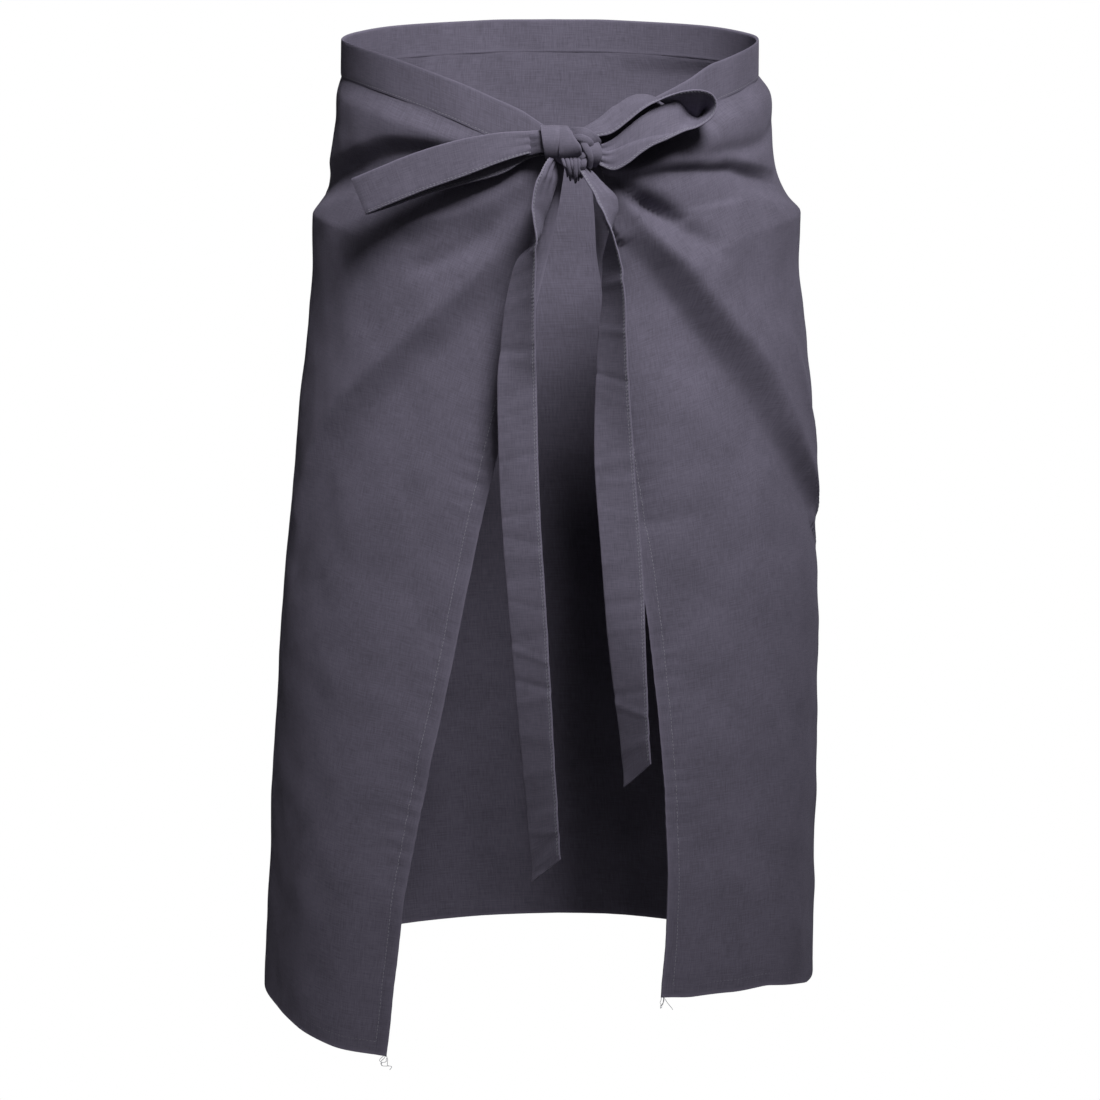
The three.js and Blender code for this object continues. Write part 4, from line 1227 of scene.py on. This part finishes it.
@dataclass
class Knot:
    """The knot: wraps of the two ties over a core."""

    strands: tuple[Strand, ...] = (
        Strand("knot_core", Table(STRAND_TABLE, (
            (-19, 0, 4, 0, 0, 16, 14), (-8, 1, 4, 0, 0, 28, 20), (6, 1, 0, 0, 0, 32, 20),
            (17, 0, -2, 0, 0, 18, 14)))),
        Strand("knot_left_collar", Table(STRAND_TABLE, (
            (-14, 6, 7.5, 0, 0, 16, 4), (-20, 8.2, 7, -3, 0, 16.5, 4.6), (-25, 7.4, 6.6, -4, 0, 16.5, 4),
            (-30, 4.6, 6.2, -6, 0, 17, 2.6), (-37, 0.4, 5.4, -6, 0, 18, 1))), pleats=3, pleat_depth=0.10),
        Strand("knot_left_wrap", Table(STRAND_TABLE, (
            (-16, -8, 15, 90, 0, 15, 3), (-16.4, 2, 19.5, 90, 0, 16.5, 3.6), (-16.4, 11, 17, 90, 0, 16.5, 4),
            (-16, 14.5, 9, 90, 0, 15, 4), (-15.6, 13.5, 2, 90, 0, 13.5, 4), (-15.3, 9, -3.5, 88, 0, 11.5, 4),
            (-15, 2, -6, 86, 0, 10, 3))), roundness=0.22, stitched=(0.86, 0.66)),
        Strand("knot_middle_wrap", Table(STRAND_TABLE, (
            (-7, -6, 15, 90, 0, 7, 3), (-6.4, 4, 19, 90, 0, 7, 3.6), (-5.4, 12, 16.5, 88, -6, 8.5, 4),
            (-3.4, 15.5, 9.5, 86, -10, 12.5, 4.2), (-1.4, 16.5, 3, 84, -10, 17, 4.2),
            (-0.6, 13.5, -2.5, 83, -6, 18.5, 4), (0, 6, -6.5, 82, 0, 16, 3.4))), roundness=0.22,
            stitched=(0.88, 0.72)),
        Strand("knot_upper_turn", Table(STRAND_TABLE, (
            (-3, 2, 13.5, -5, 10, 9, 3.6), (3, 8, 13.5, 5, 10, 11, 4), (9, 11.5, 12, 16, 6, 12.5, 4.2),
            (15, 11, 9.5, 32, 4, 12, 4.2), (19, 7, 6.5, 50, 0, 10.5, 4), (20.5, 1, 4, 60, 0, 8, 3.6))),
            roundness=0.2, stitched=(0.86, 0.66)),
        Strand("knot_inner_turn", Table(STRAND_TABLE, (
            (0, 9, 9.5, 8, 0, 5, 4), (7, 12.5, 10, 14, 0, 6, 4.5), (14, 12, 7, 34, 0, 6, 4.5),
            (17, 8, 3, 50, 0, 5, 4)))),
        Strand("knot_side_turn", Table(STRAND_TABLE, (
            (15, 4, 8, 60, 10, 8, 5), (18.5, 8.5, 3.5, 76, 14, 9.5, 5), (20, 9.5, -2, 84, 16, 9.5, 5),
            (19.6, 7, -7, 92, 14, 8, 4.5), (17.5, 1, -11, 98, 6, 6, 4))), roundness=0.25),
        Strand("knot_cross_fold", Table(STRAND_TABLE, (
            (8.5, 9, 8, 60, 0, 4.5, 4), (11, 13, 3.5, 62, 0, 5.5, 4.5), (14, 13.5, -2, 70, 0, 5.5, 4.5),
            (15.5, 11.5, -7, 84, 0, 4.5, 4), (15, 6, -13, 92, 0, 4, 3.6)))),
        Strand("knot_under_fold", Table(STRAND_TABLE, (
            (16, 9, 3, 150, 0, 4, 4), (12, 11.5, -2, 144, 0, 5, 4), (8.5, 11.5, -5.5, 140, 0, 4.6, 4),
            (6, 7, -8.5, 140, 0, 4, 3.4)))),
        *(Strand(f"knot_pleat_{k + 1}", Table(STRAND_TABLE, (
            (top, 3, -2, 90, 0, wide * 0.8, 4), (top, 9.5, -6, 90, lean, wide, 4.4),
            (lerp(top, foot, 0.4), 11.5, -11, 90, lean, wide, 4.4),
            (lerp(top, foot, 0.8), 9.0, low + 5.5, 92, lean, wide * 0.9, 4),
            (foot, 3.5, low + 1.5, 94, 0, wide * 0.7, 3), (foot, -6, low, 94, 0, wide * 0.4, 2))))
          for k, (top, foot, wide, lean, low) in enumerate((
              (-7, -3, 2.8, -12, -19), (-3.6, -0.6, 3.8, 8, -22), (-0.2, 1.6, 2.6, -6, -21),
              (3, 3.6, 4, 10, -24), (6.6, 6, 3, -8, -22), (10.6, 8.4, 5, 14, -20)))),
    )

    def build(self, knot: Array, wardrobe: Wardrobe) -> None:
        """Makes the strands; the core stands for the knot's solid."""
        rows = []
        for strand in self.strands:
            replaced = "bow_knot" if strand.name == "knot_core" else None
            made, stitched = strand.build(knot)
            wardrobe.dress(made, Slot.TIE_CLOTH, replaced)
            rows.extend(stitched)
        wardrobe.dress(Stitching().build("knot_stitches", rows), Slot.THREAD)


# Studio


@dataclass(frozen=True)
class Studio:
    """Camera at the photograph's place, soft lights, a pale floor and white surroundings."""

    camera_place: tuple[float, float, float] = (0.0, -3.130, -0.4177)
    view_angle: float = 16.9
    floor_height: float = -1.25
    floor_radius: float = 2.2
    ambient: float = 0.06

    def build(self) -> None:
        """Makes the camera, lights, floor and surroundings."""
        data = bpy.data.cameras.new("camera")
        data.sensor_width = 36.0
        data.lens = data.sensor_width / 2 / math.tan(math.radians(self.view_angle / 2))
        data.clip_end = 50
        camera = bpy.data.objects.new("camera", data)
        camera.location = self.camera_place
        camera.rotation_euler = (math.pi / 2, 0, 0)
        bpy.context.scene.collection.objects.link(camera)
        bpy.context.scene.camera = camera
        bpy.context.scene.view_settings.view_transform = "Standard"
        self.floor()
        self.surroundings()
        self.light("key", (0.48, -1.47, 1.22), 0.80, 6.8, (0.0, -0.1, 0.0), 54)
        self.light("fill", (-1.6, -2.2, 0.3), 1.6, 2.2, (0.0, 0.0, -0.2), 180)
        self.light("back", (0.5, 2.4, 0.6), 1.6, 3.0, (0.0, 0.0, -0.4), 180)

    def surroundings(self) -> None:
        """A white studio to look at, whose light on the object is as dim as the ambient value."""
        world = bpy.data.worlds.new("studio")
        world.use_nodes = True
        tree = world.node_tree
        seen = tree.nodes.new("ShaderNodeLightPath").outputs["Is Camera Ray"]
        strength = tree.nodes.new("ShaderNodeMapRange")
        tree.links.new(seen, strength.inputs["Value"])
        strength.inputs["To Min"].default_value = self.ambient
        strength.inputs["To Max"].default_value = 1.0
        background = tree.nodes["Background"]
        background.inputs["Color"].default_value = (1.0, 1.0, 1.0, 1.0)
        tree.links.new(strength.outputs[0], background.inputs["Strength"])
        bpy.context.scene.world = world

    def light(self, name: str, place: tuple[float, float, float], size: float, power: float,
              aim: tuple[float, float, float], spread: float) -> None:
        """Makes a square area light that faces a point and shines within a spread in degrees."""
        data = bpy.data.lights.new(name, "AREA")
        data.spread = math.radians(spread)
        data.size, data.energy = size, power
        lamp = bpy.data.objects.new(name, data)
        lamp.location = place
        way = np.array(aim) - np.array(place)
        tip = math.atan2(math.hypot(way[0], way[1]), -way[2])
        lamp.rotation_euler = (tip, 0, math.atan2(-way[0], way[1]))
        bpy.context.scene.collection.objects.link(lamp)

    def floor(self) -> None:
        """A pale round floor: one face with its corners on a circle."""
        turn = np.linspace(0, 2 * np.pi, 96, endpoint=False)
        points = np.stack([np.cos(turn), np.sin(turn), np.zeros_like(turn)], axis=1) * self.floor_radius
        points[:, 2] += self.floor_height
        made = mesh_object("floor", points, [list(range(len(turn)))], points[:, :2], np.zeros(len(turn)))
        paint = Shader("pale_paint").finish({"Base Color": (0.8, 0.8, 0.81, 1.0), "Roughness": 0.8})
        made.data.materials.append(paint)


def main() -> None:
    """Builds the studio and the apron."""
    logging.basicConfig(level=logging.INFO, format="%(name)s: %(message)s")
    Studio().build()
    wardrobe = Wardrobe()
    form = WornForm()
    knot = form.knot_middle()
    Skirt(form).build(wardrobe)
    Waistband(form).build(wardrobe)
    Knot().build(knot, wardrobe)
    for tie in (LOOP_LEFT, LOOP_RIGHT, TAIL_LEFT, TAIL_RIGHT):
        tie.build(knot, wardrobe)


if __name__ == "__main__":
    main()
